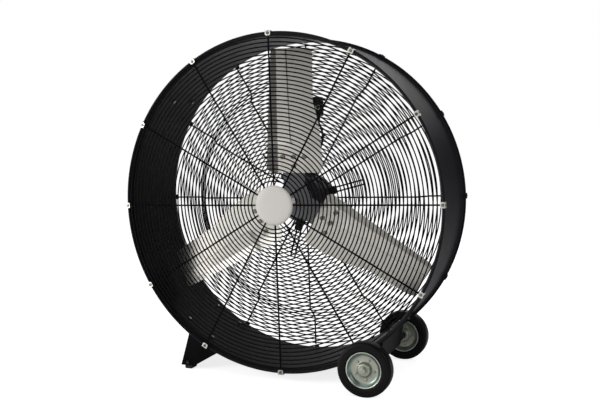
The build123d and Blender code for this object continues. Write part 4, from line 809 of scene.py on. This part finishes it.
@dataclass
class Blades:
    """Three sheet blades, twisted, with a bent trailing strip and a pressed fold."""

    count: int = 3
    first: float = 90.0
    root: float = 85.0
    flat_to: float = 150.0
    tip: float = 462.0
    base_y: float = 4.0
    sheet: float = 1.5
    # Sideways place and rise of the leading edge, the fold, the bend and the trailing edge.
    root_line: Pairs = ((-97.0, 0.0), (5.0, 0.0), (52.0, 0.0), (85.0, 13.0))
    tip_line: Pairs = ((-61.0, -15.3), (18.0, -0.25), (47.0, 5.9), (62.0, 11.5))
    strip_rise: float = 12.0
    # Radius and sideways place of the leading edge where the blade narrows.
    shoulder: Pairs = ((225.0, -83.6), (300.0, -64.0), (462.0, -61.0))
    root_corner: float = 25.0
    tip_lead_corner: float = 17.0
    tip_trail_corner: float = 8.0
    bend_width: float = 5.0
    fold_height: float = 2.6
    fold_half: float = 1.1
    fold_from: float = 172.0
    fold_ease: float = 12.0
    rows: int = 60
    columns: int = 48

    def edge_places(self, radius: float) -> list[float]:
        """Sideways places of the leading edge, the fold, the bend and the trailing edge at a radius."""
        share = (radius - self.root) / (self.tip - self.root)
        return [root[0] + share * (tip[0] - root[0]) for root, tip in zip(self.root_line, self.tip_line)]

    def rise(self, radius: float, along: float) -> float:
        """Shape the sheet.

        Args:
            radius: Radius from the hub axis.
            along: Sideways place.

        Returns:
            How far forward the sheet lies there.
        """
        lead_place, fold_place, bend_place, trail_place = self.edge_places(radius)
        twist = max(0.0, (radius - self.flat_to) / (self.tip - self.flat_to))
        inboard = max(0.0, (self.flat_to - radius) / (self.flat_to - self.root))
        lead, bend = twist * self.tip_line[0][1], twist * self.tip_line[2][1]
        trail = self.strip_rise + (self.root_line[3][1] - self.strip_rise) * inboard
        trail += twist * (self.tip_line[3][1] - self.strip_rise)
        body = lead + (along - lead_place) / (bend_place - lead_place) * (bend - lead)
        strip = bend + (along - bend_place) / (trail_place - bend_place) * (trail - bend)
        height = body + (strip - body) * clamped((along - bend_place) / self.bend_width + 0.5)
        ease = clamped((radius - self.fold_from) / self.fold_ease)
        over = clamped((along - fold_place) / (2 * self.fold_half) + 0.5)
        return height + self.fold_height * over * ease

    def trim(self, work: Workpiece, corner: Vector, inward: Vector, radius: float) -> None:
        """Round one corner of the flat blank with a fan of cuts.

        Args:
            work: The blank.
            corner: The corner's place.
            inward: Diagonal signs pointing into the blank.
            radius: Radius of the corner.
        """
        for angle in range(9, 90, 12):
            turn = math.radians(angle)
            normal = Vector((-inward.x * math.cos(turn), -inward.y * math.sin(turn), 0))
            bmesh.ops.bisect_plane(
                work.mesh,
                geom=list(work.mesh.verts) + list(work.mesh.edges) + list(work.mesh.faces),
                plane_co=corner + inward * radius + normal * radius,
                plane_no=normal,
                clear_outer=True,
            )

    def narrow_shoulder(self, place: Vector) -> None:
        """Draw a point of the blank in towards the fold where the leading edge narrows.

        Args:
            place: The point, which is moved.
        """
        lead, fold = self.edge_places(place.y)[:2]
        edge = lead
        for (start, first), (end, second) in zip(self.shoulder, self.shoulder[1:]):
            if start <= place.y <= end:
                edge = first + (place.y - start) / (end - start) * (second - first)
        if place.x < fold:
            place.x = fold + (place.x - fold) * (fold - edge) / (fold - lead)

    def blank(self, work: Workpiece) -> None:
        """Cut the flat blank.

        Args:
            work: The piece to add it to, with sideways places along X and radii along Y.
        """
        bmesh.ops.create_grid(work.mesh, x_segments=self.columns, y_segments=self.rows, size=1.0)
        strips = len(self.root_line) - 1
        for vert in work.mesh.verts:
            radius = self.root + (vert.co.y + 1) / 2 * (self.tip - self.root)
            share = (vert.co.x + 1) / 2 * strips
            part = min(strips - 1, int(share + 1e-6))
            places = self.edge_places(radius)
            along = places[part] + (share - part) * (places[part + 1] - places[part])
            step = round(share * self.columns / strips) - self.columns // strips
            if step in (-1, 0):
                along = places[1] + self.fold_half * (1 if step == 0 else -1)
            vert.co = Vector((along, radius, 0))
            self.narrow_shoulder(vert.co)
        corners = (
            (self.root_line[0][0], self.root, 1, 1, self.root_corner),
            (self.root_line[3][0], self.root, -1, 1, self.root_corner),
            (self.tip_line[0][0], self.tip, 1, -1, self.tip_lead_corner),
            (self.tip_line[3][0], self.tip, -1, -1, self.tip_trail_corner),
        )
        for along, radius, side, up, size in corners:
            self.trim(work, Vector((along, radius, 0)), Vector((side, up, 0)), size)

    def build(self) -> None:
        """Make the three blades."""
        # Sideways runs anticlockwise seen from the front and the rise goes forward, to -Y.
        stand = Matrix(((-1, 0, 0), (0, 0, -1), (0, 1, 0)))
        base = Vector((0, self.base_y, 0))
        for number in range(self.count):
            work = Workpiece(f"fan_blade_{number + 1}", "blade", Body.ROTOR, smooth_angle=35)
            self.blank(work)
            turn = Matrix.Rotation(-math.radians(self.first - 90 + number * 360 / self.count), 3, "Y")
            for vert in work.mesh.verts:
                risen = Vector((vert.co.x, vert.co.y, self.rise(vert.co.y, vert.co.x)))
                vert.co = turn @ (stand @ risen + base) + HUB
            work.extrude(list(work.mesh.faces), -FAN_AXIS * self.sheet)
            work.finish([f"blade_{number + 1}"])


# ---------------------------------------------------------------- motor


@dataclass
class Motor:
    """The motor's tube and its cast end bells, with rounded edges and stiffening ribs."""

    radius: float = 71.0
    wall: float = 3.0
    mid_y: float = 110.0
    half: float = 48.0
    # Places from the tube's end, and depths, of the groove rolled round it.
    groove: Pairs = ((8.0, 0.0), (9.0, 0.9), (11.0, 0.9), (12.0, 0.0))
    bell: float = 12.0
    boss: float = 6.0
    boss_radius: float = 26.0
    boss_edge: float = 1.5
    # Heights over the bell's face, and reaches past the boss, of the fillet at its foot.
    boss_foot: Pairs = ((0.0, 6.0), (1.0, 3.6), (3.0, 1.6))
    shaft_hole: float = 9.0
    pinhole: float = 0.01
    edge: float = 5.0
    rib_count: int = 6
    rib_width: float = 4.0
    rib_height: float = 3.0
    rib_slope: float = 8.0
    rib_sunk: float = 1.0

    def build_casing(self) -> None:
        """Make the tube, with a shallow rolled groove near each end."""
        start, end, inner = self.mid_y - self.half, self.mid_y + self.half, self.radius - self.wall
        line = [(start, self.radius)]
        line += [(start + along, self.radius - deep) for along, deep in self.groove]
        line += [(end - along, self.radius - deep) for along, deep in reversed(self.groove)]
        line += [(end, self.radius), (end, inner), (start, inner)]
        work = Workpiece("motor_tube", "motor")
        work.turn_profile(line, steps=112)
        work.finish(["motor_casing"])

    def build_bell(self, side: float, end: str) -> None:
        """Make one end bell.

        Args:
            side: -1 for the front and +1 for the rear.
            end: The end's name.
        """
        joint = self.mid_y + side * self.half
        face = joint + side * self.bell
        top = face + side * self.boss
        hole = self.shaft_hole if side < 0 else self.pinhole
        line = [(joint, self.radius)]
        for angle in range(0, 91, 15):
            turn = math.radians(angle)
            reach = self.radius - self.edge + self.edge * math.cos(turn)
            line.append((face - side * self.edge * (1 - math.sin(turn)), reach))
        line += [(face + side * up, self.boss_radius + past) for up, past in self.boss_foot]
        line += [(top - side * self.boss_edge, self.boss_radius), (top, self.boss_radius - self.boss_edge)]
        line += [(top, hole), (joint, hole)]
        work = Workpiece(f"motor_{end}_bell", "motor", smooth_angle=32)
        work.turn_profile(line, steps=96)
        before = len(work.mesh.verts)
        near, far = self.boss_radius - self.rib_sunk, self.radius - self.edge
        base, raised = face - side * self.rib_sunk, face + side * self.rib_height
        fall = face + side * self.rib_height * 0.6
        rib = [(base, near), (raised, near), (fall, far - self.rib_slope), (base, far)]
        corners = [Vector((out, along, HUB_Z - self.rib_width / 2)) for along, out in rib]
        work.plate(corners, Vector((0, 0, self.rib_width)))
        work.copy_round(self.rib_count, made_before=before)
        work.finish([f"motor_{end}_endbell"])

    def build(self) -> None:
        """Make the tube and both end bells."""
        self.build_casing()
        self.build_bell(-1.0, "front")
        self.build_bell(1.0, "rear")


@dataclass
class MotorMount:
    """The wire pairs, rubber dampers and bolts that carry the motor on the rear guard."""

    angles: tuple[float, ...] = (15.0, 135.0, 255.0)
    rod_wire: float = 2.6
    rod_half_gap: float = 7.0
    rod_from: float = 82.0
    rod_to: float = 200.0
    rod_y: float = 106.0
    tab_y: float = 108.0
    tab_sheet: float = 3.0
    tab_half_length: float = 7.0
    tab_half_width: float = 9.0
    lug_radius: float = 95.0
    damper_radius: float = 11.0
    damper_neck: float = 7.0
    damper_front: float = 93.0
    damper_rear: float = 104.0
    flange: float = 4.0
    bolt_radius: float = 4.0
    bolt_length: float = 24.6
    washer_radius: float = 8.0
    washer_bevel: float = 0.3
    hexagon_radius: float = 7.0
    hexagon_bevel: float = 0.8

    def build_rods(self) -> None:
        """Make the three pairs of wires with the tab welded across each."""
        work = Workpiece("motor_mount_wires", "guard")
        long, wide = self.tab_half_length, self.tab_half_width
        for angle in self.angles:
            aim = direction(angle)
            aside = FAN_AXIS.cross(aim)
            for half in (-self.rod_half_gap, self.rod_half_gap):
                start = out_from_hub(angle, self.rod_from, self.rod_y) + aside * half
                work.wire(start, aim, self.rod_wire, [("run", self.rod_to - self.rod_from)])
            middle = out_from_hub(angle, self.lug_radius, self.tab_y)
            signs = ((-1, -1), (1, -1), (1, 1), (-1, 1))
            corners = [middle + aim * long * out + aside * wide * across for out, across in signs]
            work.plate(corners, FAN_AXIS * self.tab_sheet)
        work.finish(["mount_rods"])

    def build_dampers(self) -> None:
        """Make the rubber grommets with their rounded flanges."""
        work = Workpiece("motor_rubber_dampers", "rubber", smooth_angle=35)
        front, edge, behind = self.damper_front, self.damper_radius, self.damper_front + self.flange
        half = [
            (front, self.bolt_radius), (front, edge - 1.2), (front + 0.4, edge - 0.4), (front + 1.2, edge),
            (behind - 0.8, edge), (behind, edge - 0.8), (behind, self.damper_neck),
        ]
        line = half + [(front + self.damper_rear - along, out) for along, out in reversed(half)]
        for angle in self.angles:
            work.turn_profile(line, centre=out_from_hub(angle, self.lug_radius, 0), steps=40)
        work.finish(["mount_dampers"])

    def build_bolts(self) -> None:
        """Make a washer and a chamfered hexagon at each end, and the shank between them."""
        work = Workpiece("motor_mount_screws", "zinc", smooth_angle=30)
        for angle in self.angles:
            front = out_from_hub(angle, self.lug_radius, self.damper_front)
            back = out_from_hub(angle, self.lug_radius, self.tab_y + self.tab_sheet)
            self.add_fastener(work, front + FAN_AXIS * 0.2, -FAN_AXIS, 1.5, 1.4, 4.0)
            work.disc(front, FAN_AXIS, self.bolt_radius - 0.1, self.bolt_length, 20, bevel=0.6)
            self.add_fastener(work, back, FAN_AXIS, 1.4, 1.3, 4.6)
        work.finish(["mount_bolts"], material=BLACKENED_STEEL)

    def add_fastener(
        self, work: Workpiece, place: Vector, out: Vector, sheet: float, seat: float, height: float
    ) -> None:
        """Add a washer of a sheet, standing out from a place, and a hexagon that starts at its seat."""
        work.disc(place, out, self.washer_radius, sheet, 28, bevel=self.washer_bevel)
        work.disc(place + out * seat, out, self.hexagon_radius, height, 6, bevel=self.hexagon_bevel)

    def build(self) -> None:
        """Make the wires, the dampers and the bolts."""
        self.build_rods()
        self.build_dampers()
        self.build_bolts()


@dataclass
class SwitchBox:
    """The moulded switch box behind the rear guard, its cover, knob and front screws."""

    x: float = 12.5
    z: float = 809.0
    width: float = 75.0
    height: float = 62.0
    front_y: float = 111.3
    joint_y: float = 141.3
    rear_y: float = 143.8
    corner: float = 6.0
    front_edge: float = 1.6
    cover_edge: float = 1.0
    screw_places: Pairs = ((-18.5, 807.8), (43.5, 806.2))
    washer_radius: float = 8.6
    washer_hole: float = 4.6
    washer_y: float = 104.6
    washer_sheet: float = 1.5
    knob_radius: float = 16.9
    knob_bore: float = 3.2
    knob_from: float = 148.6
    knob_to: float = 164.6
    flute_count: int = 18
    flute_radius: float = 1.2
    pointer_half: float = 2.4

    def outline(self, inset: float) -> list[Vector]:
        """Draw the rounded outline at the front face.

        Args:
            inset: How far it is moved inwards.

        Returns:
            Its corners in order.
        """
        across, up = self.width / 2 - inset, self.height / 2 - inset
        radius = self.corner - inset * 0.5
        corners = []
        for quarter, (side, level) in enumerate(((1, 1), (-1, 1), (-1, -1), (1, -1))):
            for angle in range(0, 91, 15):
                turn = math.radians(angle + 90 * quarter)
                x = self.x + side * (across - radius) + radius * math.cos(turn)
                z = self.z + level * (up - radius) + radius * math.sin(turn)
                corners.append(Vector((x, self.front_y, z)))
        return corners

    def build_box(self) -> None:
        """Make the box with softened edges and a cover that stands in from its rim."""
        box = Workpiece("switch_housing", "box_plastic")
        depth = self.joint_y - self.front_y
        box.plate(self.outline(0.0), FAN_AXIS * (depth - 0.4))
        front = box.edges_where(lambda place: abs(place.y - self.front_y) < NEAR)
        box.round_off(front, self.front_edge, segments=3)
        box.finish(["switch_box"])
        cover = Workpiece("switch_cover_plate", "box_plastic")
        corners = [corner + FAN_AXIS * (depth + 0.1) for corner in self.outline(0.5)]
        cover.plate(corners, FAN_AXIS * (self.rear_y - self.joint_y - 0.1))
        cover.round_off(cover.edges_where(lambda place: place.y > self.rear_y - 0.01), self.cover_edge)
        cover.finish(["switch_box_cover"])

    def build_screws(self) -> None:
        """Make the two large washers before the guard's wires, and their dark screws."""
        washers = Workpiece("switch_box_washers", "zinc", smooth_angle=30)
        screws = Workpiece("switch_box_pan_screws", "zinc", smooth_angle=50)
        near, far, edge = self.washer_y, self.washer_y + self.washer_sheet, self.washer_radius
        hole = self.washer_hole
        line = [(near, hole), (near, edge - 0.5), (near + 0.5, edge), (far, edge), (far, hole)]
        for x, z in self.screw_places:
            washers.turn_profile(line, centre=Vector((x, 0, z)), steps=40)
            screws.disc(Vector((x, far, z)), -FAN_AXIS, 5.4, 2.6, 24, bevel=1.2)
            screws.disc(Vector((x, near, z)), FAN_AXIS, 2.0, 11.6, 16, bevel=0.3)
        washers.finish()
        screws.finish(["switch_box_screws"], material=BLACKENED_STEEL)

    def build_knob(self) -> None:
        """Make the fluted knob with its skirt and raised pointer bar."""
        work = Workpiece("speed_control_knob", "knob", Body.KNOB, smooth_angle=28)
        centre = Vector((self.x, 0, self.z))
        near, far, edge, bore = self.knob_from, self.knob_to, self.knob_radius, self.knob_bore
        grip = edge - 2.6
        line = [
            (near, bore), (near, edge), (near + 2.6, edge), (near + 3.6, edge - 0.8), (near + 4.0, grip),
            (far - 4.4, grip - 0.6), (far - 3.2, grip - 1.6), (far - 3.0, grip - 3.0), (far - 3.0, bore),
        ]
        work.turn_profile(line, centre=centre, steps=72)
        work.disc(centre + FAN_AXIS * (near + 3.0), FAN_AXIS, bore + 0.2, far - near - 4.0, 24)
        before = len(work.mesh.verts)
        flute = centre + Vector((grip - 0.3, near + 3.8, 0))
        work.disc(flute, FAN_AXIS, self.flute_radius, far - near - 8.6, 8, bevel=0.4)
        work.copy_round(self.flute_count, centre, before)
        corners = [
            centre + Vector((side * self.pointer_half, far - 3.2, level * (grip - 1.4)))
            for side, level in ((-1, -1), (1, -1), (1, 1), (-1, 1))
        ]
        work.plate(corners, FAN_AXIS * 3.0)
        work.round_off(work.edges_where(lambda place: place.y > far - 0.3), 0.9)
        work.finish(["speed_knob"])

    def build(self) -> None:
        """Make the box, the screws and the knob."""
        self.build_box()
        self.build_screws()
        self.build_knob()


# ---------------------------------------------------------------- wheels


@dataclass
class Wheel:
    """A riveted pressed-steel wheel with a solid tyre."""

    side: float
    body: Body
    y: float = 207.0
    # Places from the wheel's middle: the tyre's tread, moulded ring and bead.
    tyre: Pairs = (
        (0.0, 78.0), (9.0, 78.0), (13.0, 77.6), (15.6, 76.6), (17.8, 74.8), (19.3, 72.4), (20.0, 69.6),
        (20.0, 66.2), (19.5, 65.6), (19.5, 64.2), (20.0, 63.6), (20.0, 58.0), (19.6, 55.4),
        (18.6, 53.2), (17.2, 52.2), (9.5, 44.0),
    )
    # The rim's rolled lip, and its dish from there to the bush.
    lip: Pairs = (
        (17.0, 51.0), (18.2, 51.2), (18.9, 50.7), (19.0, 49.9), (18.5, 49.0),
    )
    dish: Pairs = (
        (17.0, 48.1), (12.0, 44.6), (9.0, 41.4), (7.6, 39.4), (7.0, 37.6), (7.0, 23.2), (7.3, 22.2),
        (8.2, 21.4), (15.0, 18.6), (16.6, 17.8), (17.4, 16.6), (17.6, 15.4), (17.6, 9.6),
    )
    rim_sheet: float = 2.0
    cone_from: float = 38.6
    lip_from: float = 47.8
    rivet_circle: float = 28.5
    rivet_count: int = 5
    rivet_phase: float = 62.0
    rivet_radius: float = 4.2
    rivet_height: float = 3.0
    # The bush's collar, barrel and bore.
    bush: Pairs = ((17.8, 9.4), (17.8, 12.0), (18.0, 12.6), (18.0, 6.05))

    @property
    def centre(self) -> Vector:
        """Centre of the wheel."""
        return AXLE + FAN_AXIS * self.side * self.y

    @property
    def node(self) -> str:
        """How the names of the wheel's CAD nodes start."""
        return self.body.value

    def build_tyre(self) -> None:
        """Make the tyre: a rounded tread, a moulded ring on each side and a bead at the rim."""
        whole = [*self.tyre, *((-along, out) for along, out in self.tyre[:0:-1])]
        work = Workpiece(f"{self.node}_solid_tyre", "tyre", self.body, smooth_angle=30)
        work.turn_profile(whole, centre=self.centre, steps=112)
        work.finish([f"{self.node}_tyre"])

    def build_rim(self) -> None:
        """Make both pressed dishes with rolled lips."""
        work = Workpiece(f"{self.node}_pressed_rim", "zinc", self.body, smooth_angle=35)
        back = [(along - self.rim_sheet, out) for along, out in reversed(self.dish)]
        for face in (-1.0, 1.0):
            line = [(face * along, out) for along, out in (*self.lip, *self.dish, *back)]
            work.turn_profile(line, centre=self.centre, steps=96)
        rim = work.finish([f"{self.node}_rim"])
        # The cone gets a darker, bluer zinc: its blue film with painted shade.
        rim.data.materials.append(CONE_ZINC_PAINTED_SHADE.material())
        rim.data.materials.append(LIP_ZINC_PAINTED_HIGHLIGHT.material())
        # By radius, the cone takes the zinc with painted shade and the rolled lip the zinc with a painted
        # highlight.
        for polygon in rim.data.polygons:
            place = polygon.center / MM - self.centre
            out = math.hypot(place.x, place.z)
            polygon.material_index = (out > self.cone_from) + (out > self.lip_from)

    def build_rivets(self) -> None:
        """Make the rivets that join the dishes."""
        work = Workpiece(f"{self.node}_round_rivets", "zinc", self.body, smooth_angle=60)
        reach = direction(self.rivet_phase) * self.rivet_circle
        floor = self.dish[4][0]
        for face in (-1.0, 1.0):
            before = len(work.mesh.verts)
            out = FAN_AXIS * face
            base = self.centre + out * (floor - 0.5) + reach
            work.disc(base, out, self.rivet_radius, self.rivet_height, 20, bevel=1.7)
            work.copy_round(self.rivet_count, self.centre, before)
        work.finish([f"{self.node}_rivets"])

    def build_bush(self) -> None:
        """Make the turned bush whose collar shows round the axle on each side."""
        work = Workpiece(f"{self.node}_turned_bush", "steel", self.body, smooth_angle=35)
        line = [*self.bush, *((-along, out) for along, out in reversed(self.bush))]
        work.turn_profile(line, centre=self.centre, steps=64)
        work.finish([f"{self.node}_bush"])

    def build(self) -> None:
        """Make the tyre, the rim, the rivets and the bush."""
        self.build_tyre()
        self.build_rim()
        self.build_rivets()
        self.build_bush()


@dataclass
class AxleNuts:
    """A washer and a thin hexagon nut on each end of the axle."""

    seat_y: float = 225.3
    washer_radius: float = 12.0
    washer_sheet: float = 1.5
    washer_edge: float = 0.4
    nut_radius: float = 10.0
    nut_height: float = 6.0
    nut_bevel: float = 0.9
    bore: float = 5.6

    def build(self) -> None:
        """Make the washers and the nuts."""
        work = Workpiece("axle_lock_nuts", "zinc", smooth_angle=30)
        for side in (-1.0, 1.0):
            seat = side * self.seat_y
            far = seat + side * self.washer_sheet
            edge, chamfer = self.washer_radius, self.washer_edge
            line = [
                (seat, self.bore), (far, self.bore), (far, edge - chamfer), (far - side * chamfer, edge),
                (seat, edge),
            ]
            work.turn_profile(line, centre=AXLE, steps=48)
            place = AXLE + FAN_AXIS * far
            work.disc(place, FAN_AXIS * side, self.nut_radius, self.nut_height, 6, bevel=self.nut_bevel)
        work.finish(["axle_nuts"])


# ---------------------------------------------------------------- cable


@dataclass
class MotorLead:
    """The rubber lead from the switch box down to the motor's terminal box."""

    diameter: float = 7.0
    # The same corners as the solid lead's, in metres from the floor.
    route: tuple[Triple, ...] = (
        (0.038, 0.121, 0.7805), (0.038, 0.121, 0.762), (0.052, 0.116, 0.739), (0.057, 0.115, 0.711),
        (0.047, 0.115, 0.678), (0.027, 0.115, 0.650), (0.010, 0.121, 0.618), (0.010, 0.121, 0.600),
    )

    def build(self) -> None:
        """Make the lead as one smooth spline."""
        curve = bpy.data.curves.new("motor_lead_cord", "CURVE")
        curve.dimensions = "3D"
        spline = curve.splines.new("NURBS")
        spline.points.add(len(self.route) - 1)
        for point, place in zip(spline.points, self.route):
            point.co = (*place, 1.0)
        spline.order_u = 3
        spline.use_endpoint_u = True
        spline.resolution_u = 12
        curve.bevel_depth = self.diameter / 2 * MM
        curve.bevel_resolution = 5
        curve.use_fill_caps = True
        curve.materials.append(CABLE_RUBBER.material())
        piece = bpy.data.objects.new("motor_lead_cord", curve)
        bpy.context.scene.collection.objects.link(piece)
        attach(piece, Body.FRAME.value)
        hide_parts("motor_lead")


# ---------------------------------------------------------------- studio


@dataclass
class Studio:
    """The photograph's camera, a pale floor and soft plain light."""

    camera_place: Triple = (1.0103, -2.4895, 0.7646)
    yaw: float = 21.69
    pitch: float = 5.11
    roll: float = -1.13
    lens: float = 52.88
    ambient: float = 0.3
    # The studio that metal mirrors is white on the left and hung with dark cloth on the right: the
    # heading's x and the strength there.
    mirrored_stops: Pairs = ((-0.56, 0.86), (-0.46, 0.8), (-0.3, 0.84), (0.0, 0.86), (0.12, 0.02))
    floor_glow: float = 0.8
    floor_drop: float = 0.0005
    # Painted light of the floor that metal mirrors, left and right, with painted shade to the right, and
    # how much brighter the painted light patch on it is at the left.
    mirrored_floor: tuple[float, float] = (0.9, 0.04)
    painted_light_patch: float = 2.6
    # One over the half length and half width of the painted shadow of the fan on the floor that metal
    # mirrors, in metres.
    painted_shadow_footprint: Triple = (2.2, 3.4, 0.0)
    # Name, place, X of the aim, size and power of the lamps.
    lamps: tuple[tuple[str, Triple, float, float, float], ...] = (
        ("key_softbox", (-2.3, -2.05, 1.1), 0.0, 1.4, 41),
        ("right_softbox", (2.6, -0.9, 1.6), 0.2, 1.6, 20),
        ("rear_softbox", (0.5, 2.8, 2.2), 0.0, 1.8, 16),
    )

    def build_camera(self) -> None:
        """Place the camera as it was fitted to the photograph."""
        yaw, pitch, roll = (math.radians(angle) for angle in (self.yaw, self.pitch, self.roll))
        heading = Vector((-math.sin(yaw), math.cos(yaw), 0))
        forward = heading * math.cos(pitch) - Vector((0, 0, math.sin(pitch)))
        right = Vector((math.cos(yaw), math.sin(yaw), 0))
        up = right.cross(forward)
        level = right * math.cos(roll) + up * math.sin(roll)
        upright = up * math.cos(roll) - right * math.sin(roll)
        turn = Matrix((level, upright, -forward)).transposed()
        data = bpy.data.cameras.new("photograph_camera")
        data.lens = self.lens
        data.sensor_width = 36.0
        data.clip_start = 0.05
        camera = bpy.data.objects.new("photograph_camera", data)
        camera.matrix_world = Matrix.Translation(self.camera_place) @ turn.to_4x4()
        bpy.context.scene.collection.objects.link(camera)
        bpy.context.scene.camera = camera

    def strength_by_ray(self, graph: Graph, plain: float, mirrored: Socket, seen: float) -> Socket:
        """Choose a strength by the kind of ray.

        Args:
            graph: The graph to add to.
            plain: Strength for the rays that light the object.
            mirrored: Strength for glossy rays, so that metal shows the background.
            seen: Strength for the camera and through glass.

        Returns:
            The chosen strength.
        """
        path = graph.add("LightPath").outputs
        lighting = graph.add("Mix", {"data_type": "FLOAT"}, {0: path["Is Glossy Ray"], 3: mirrored})
        lighting.inputs[2].default_value = plain
        clear = graph.combine("MAXIMUM", path["Is Camera Ray"], path["Is Transmission Ray"])
        strength = graph.add("Mix", {"data_type": "FLOAT"}, {0: clear, 2: lighting.outputs[0]})
        strength.inputs[3].default_value = seen
        return strength.outputs[0]

    def build_world(self) -> None:
        """Give the world an even grey light and a white look behind the object."""
        world = bpy.data.worlds.new("studio_white")
        bpy.context.scene.world = world
        world.use_nodes = True
        graph = Graph(world.node_tree)
        back = graph.tree.nodes["Background"]
        back.inputs["Color"].default_value = (1, 1, 1, 1)
        heading = graph.add("TexCoord").outputs["Generated"]
        sideways = graph.add("SeparateXYZ", links={"Vector": heading}).outputs["X"]
        place = graph.remap(sideways, (-1.0, 1.0), (0.0, 1.0))
        mirrored = graph.add("ValToRGB", links={"Fac": place})
        ramp = mirrored.color_ramp
        while len(ramp.elements) < len(self.mirrored_stops):
            ramp.elements.new(0.5)
        for element, (heading_x, level) in zip(ramp.elements, self.mirrored_stops):
            element.position = (heading_x + 1) / 2
            element.color = (level, level, level, 1)
        strength = self.strength_by_ray(graph, self.ambient, mirrored.outputs["Color"], 1.0)
        graph.tree.links.new(strength, back.inputs["Strength"])

    def painted_floor_light(self, graph: Graph) -> Socket:
        """Wire up the painted light and shadow of the floor that metal mirrors.

        Args:
            graph: The floor material's graph.

        Returns:
            The brightness: painted shade at the right and far off, a painted shadow under the fan, and a
                painted light patch at the left.
        """
        place = graph.add("TexCoord").outputs["Object"]
        across = graph.add("SeparateXYZ", links={"Vector": place}).outputs["X"]
        painted_shadow_footprint = graph.add("Mapping", {"Scale": self.painted_shadow_footprint}, {"Vector": place}).outputs["Vector"]
        away = graph.add("VectorMath", {"operation": "LENGTH"}, {0: painted_shadow_footprint}).outputs["Value"]
        shades = graph.remap(across, (-0.3, 1.0), self.mirrored_floor)
        # Painted shadow under the fan, painted falloff far off, and a painted light patch at the left.
        for value, source, target in (
            (away, (1.0, 1.6), (0.1, 1.0)),
            (away, (10.0, 18.0), (1.0, 0.5)),
            (across, (-1.3, -0.6), (self.painted_light_patch, 1.0)),
        ):
            shades = graph.combine("MULTIPLY", shades, graph.remap(value, source, target))
        return shades

    def build_floor(self) -> None:
        """Lay the pale floor, which shows white where nothing shades it."""
        mesh = bmesh.new()
        bmesh.ops.create_grid(mesh, x_segments=1, y_segments=1, size=40.0)
        data = bpy.data.meshes.new("studio_floor")
        mesh.to_mesh(data)
        mesh.free()
        floor = bpy.data.objects.new("studio_floor", data)
        floor.location.z = -self.floor_drop
        bpy.context.scene.collection.objects.link(floor)
        material = bpy.data.materials.new("white_paper_floor")
        material.use_nodes = True
        graph = Graph(material.node_tree)
        shader = graph.tree.nodes["Principled BSDF"]
        shader.inputs["Base Color"].default_value = linear("#e4e4e4")
        shader.inputs["Roughness"].default_value = 0.9
        shader.inputs["Specular IOR Level"].default_value = 0.0
        shader.inputs["Emission Color"].default_value = (1, 1, 1, 1)
        # Camera rays see the floor evenly white; glossy rays see its painted light and shadow.
        glow = self.strength_by_ray(graph, 0.0, self.painted_floor_light(graph), self.floor_glow)
        graph.tree.links.new(glow, shader.inputs["Emission Strength"])
        data.materials.append(material)

    def add_lamp(self, name: str, place: Triple, aim_x: float, size: float, power: float) -> None:
        """Add a soft square lamp.

        Args:
            name: The lamp's name.
            place: Where it hangs, in metres.
            aim_x: X of the point at half the fan's height that it faces.
            size: Side of its square.
            power: Its power in watts.
        """
        data = bpy.data.lights.new(name, "AREA")
        data.size = size
        data.energy = power
        lamp = bpy.data.objects.new(name, data)
        lamp.location = place
        lamp.rotation_euler = (Vector((aim_x, 0, 0.5)) - Vector(place)).to_track_quat("-Z", "Y").to_euler()
        bpy.context.scene.collection.objects.link(lamp)

    def build(self) -> None:
        """Set the camera, the floor, the world and the lamps."""
        bpy.context.scene.view_settings.view_transform = "Standard"
        self.build_camera()
        self.build_world()
        self.build_floor()
        for lamp in self.lamps:
            self.add_lamp(*lamp)


# ---------------------------------------------------------------- the whole


def dress_nodes(frame: dict) -> None:
    """Give every carried-over CAD node the finish of its slot, and ease its edges.
    """
    slots = {part["node"]: part["material_slot"] for part in frame["record"]["subparts"]}
    for name, node in frame["nodes"].items():
        finish = NODE_FINISHES.get(name, SLOT_FINISHES[slots[name]])
        node.data.materials.clear()
        node.data.materials.append(finish.material())
        if name in SOFTENED_EDGES:
            bevel = node.modifiers.new("softened_edges", "BEVEL")
            bevel.width = SOFTENED_EDGES[name] * MM
            bevel.segments = 2
            bevel.limit_method = "ANGLE"
            bevel.angle_limit = math.radians(40)


def main() -> None:
    """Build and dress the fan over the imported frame."""
    logging.basicConfig(level=logging.INFO, format="%(name)s: %(message)s")
    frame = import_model()
    Studio().build()
    MotorLead().build()
    dress_nodes(frame)
    wheels = Wheel(-1.0, Body.WHEEL_FRONT), Wheel(1.0, Body.WHEEL_REAR)
    dressed = Drum(), Guards(), Clips(), Badge(), Blades(), *wheels, AxleNuts(), Motor(), MotorMount()
    for group in (*dressed, SwitchBox()):
        group.build()


if __name__ == "__main__":
    main()
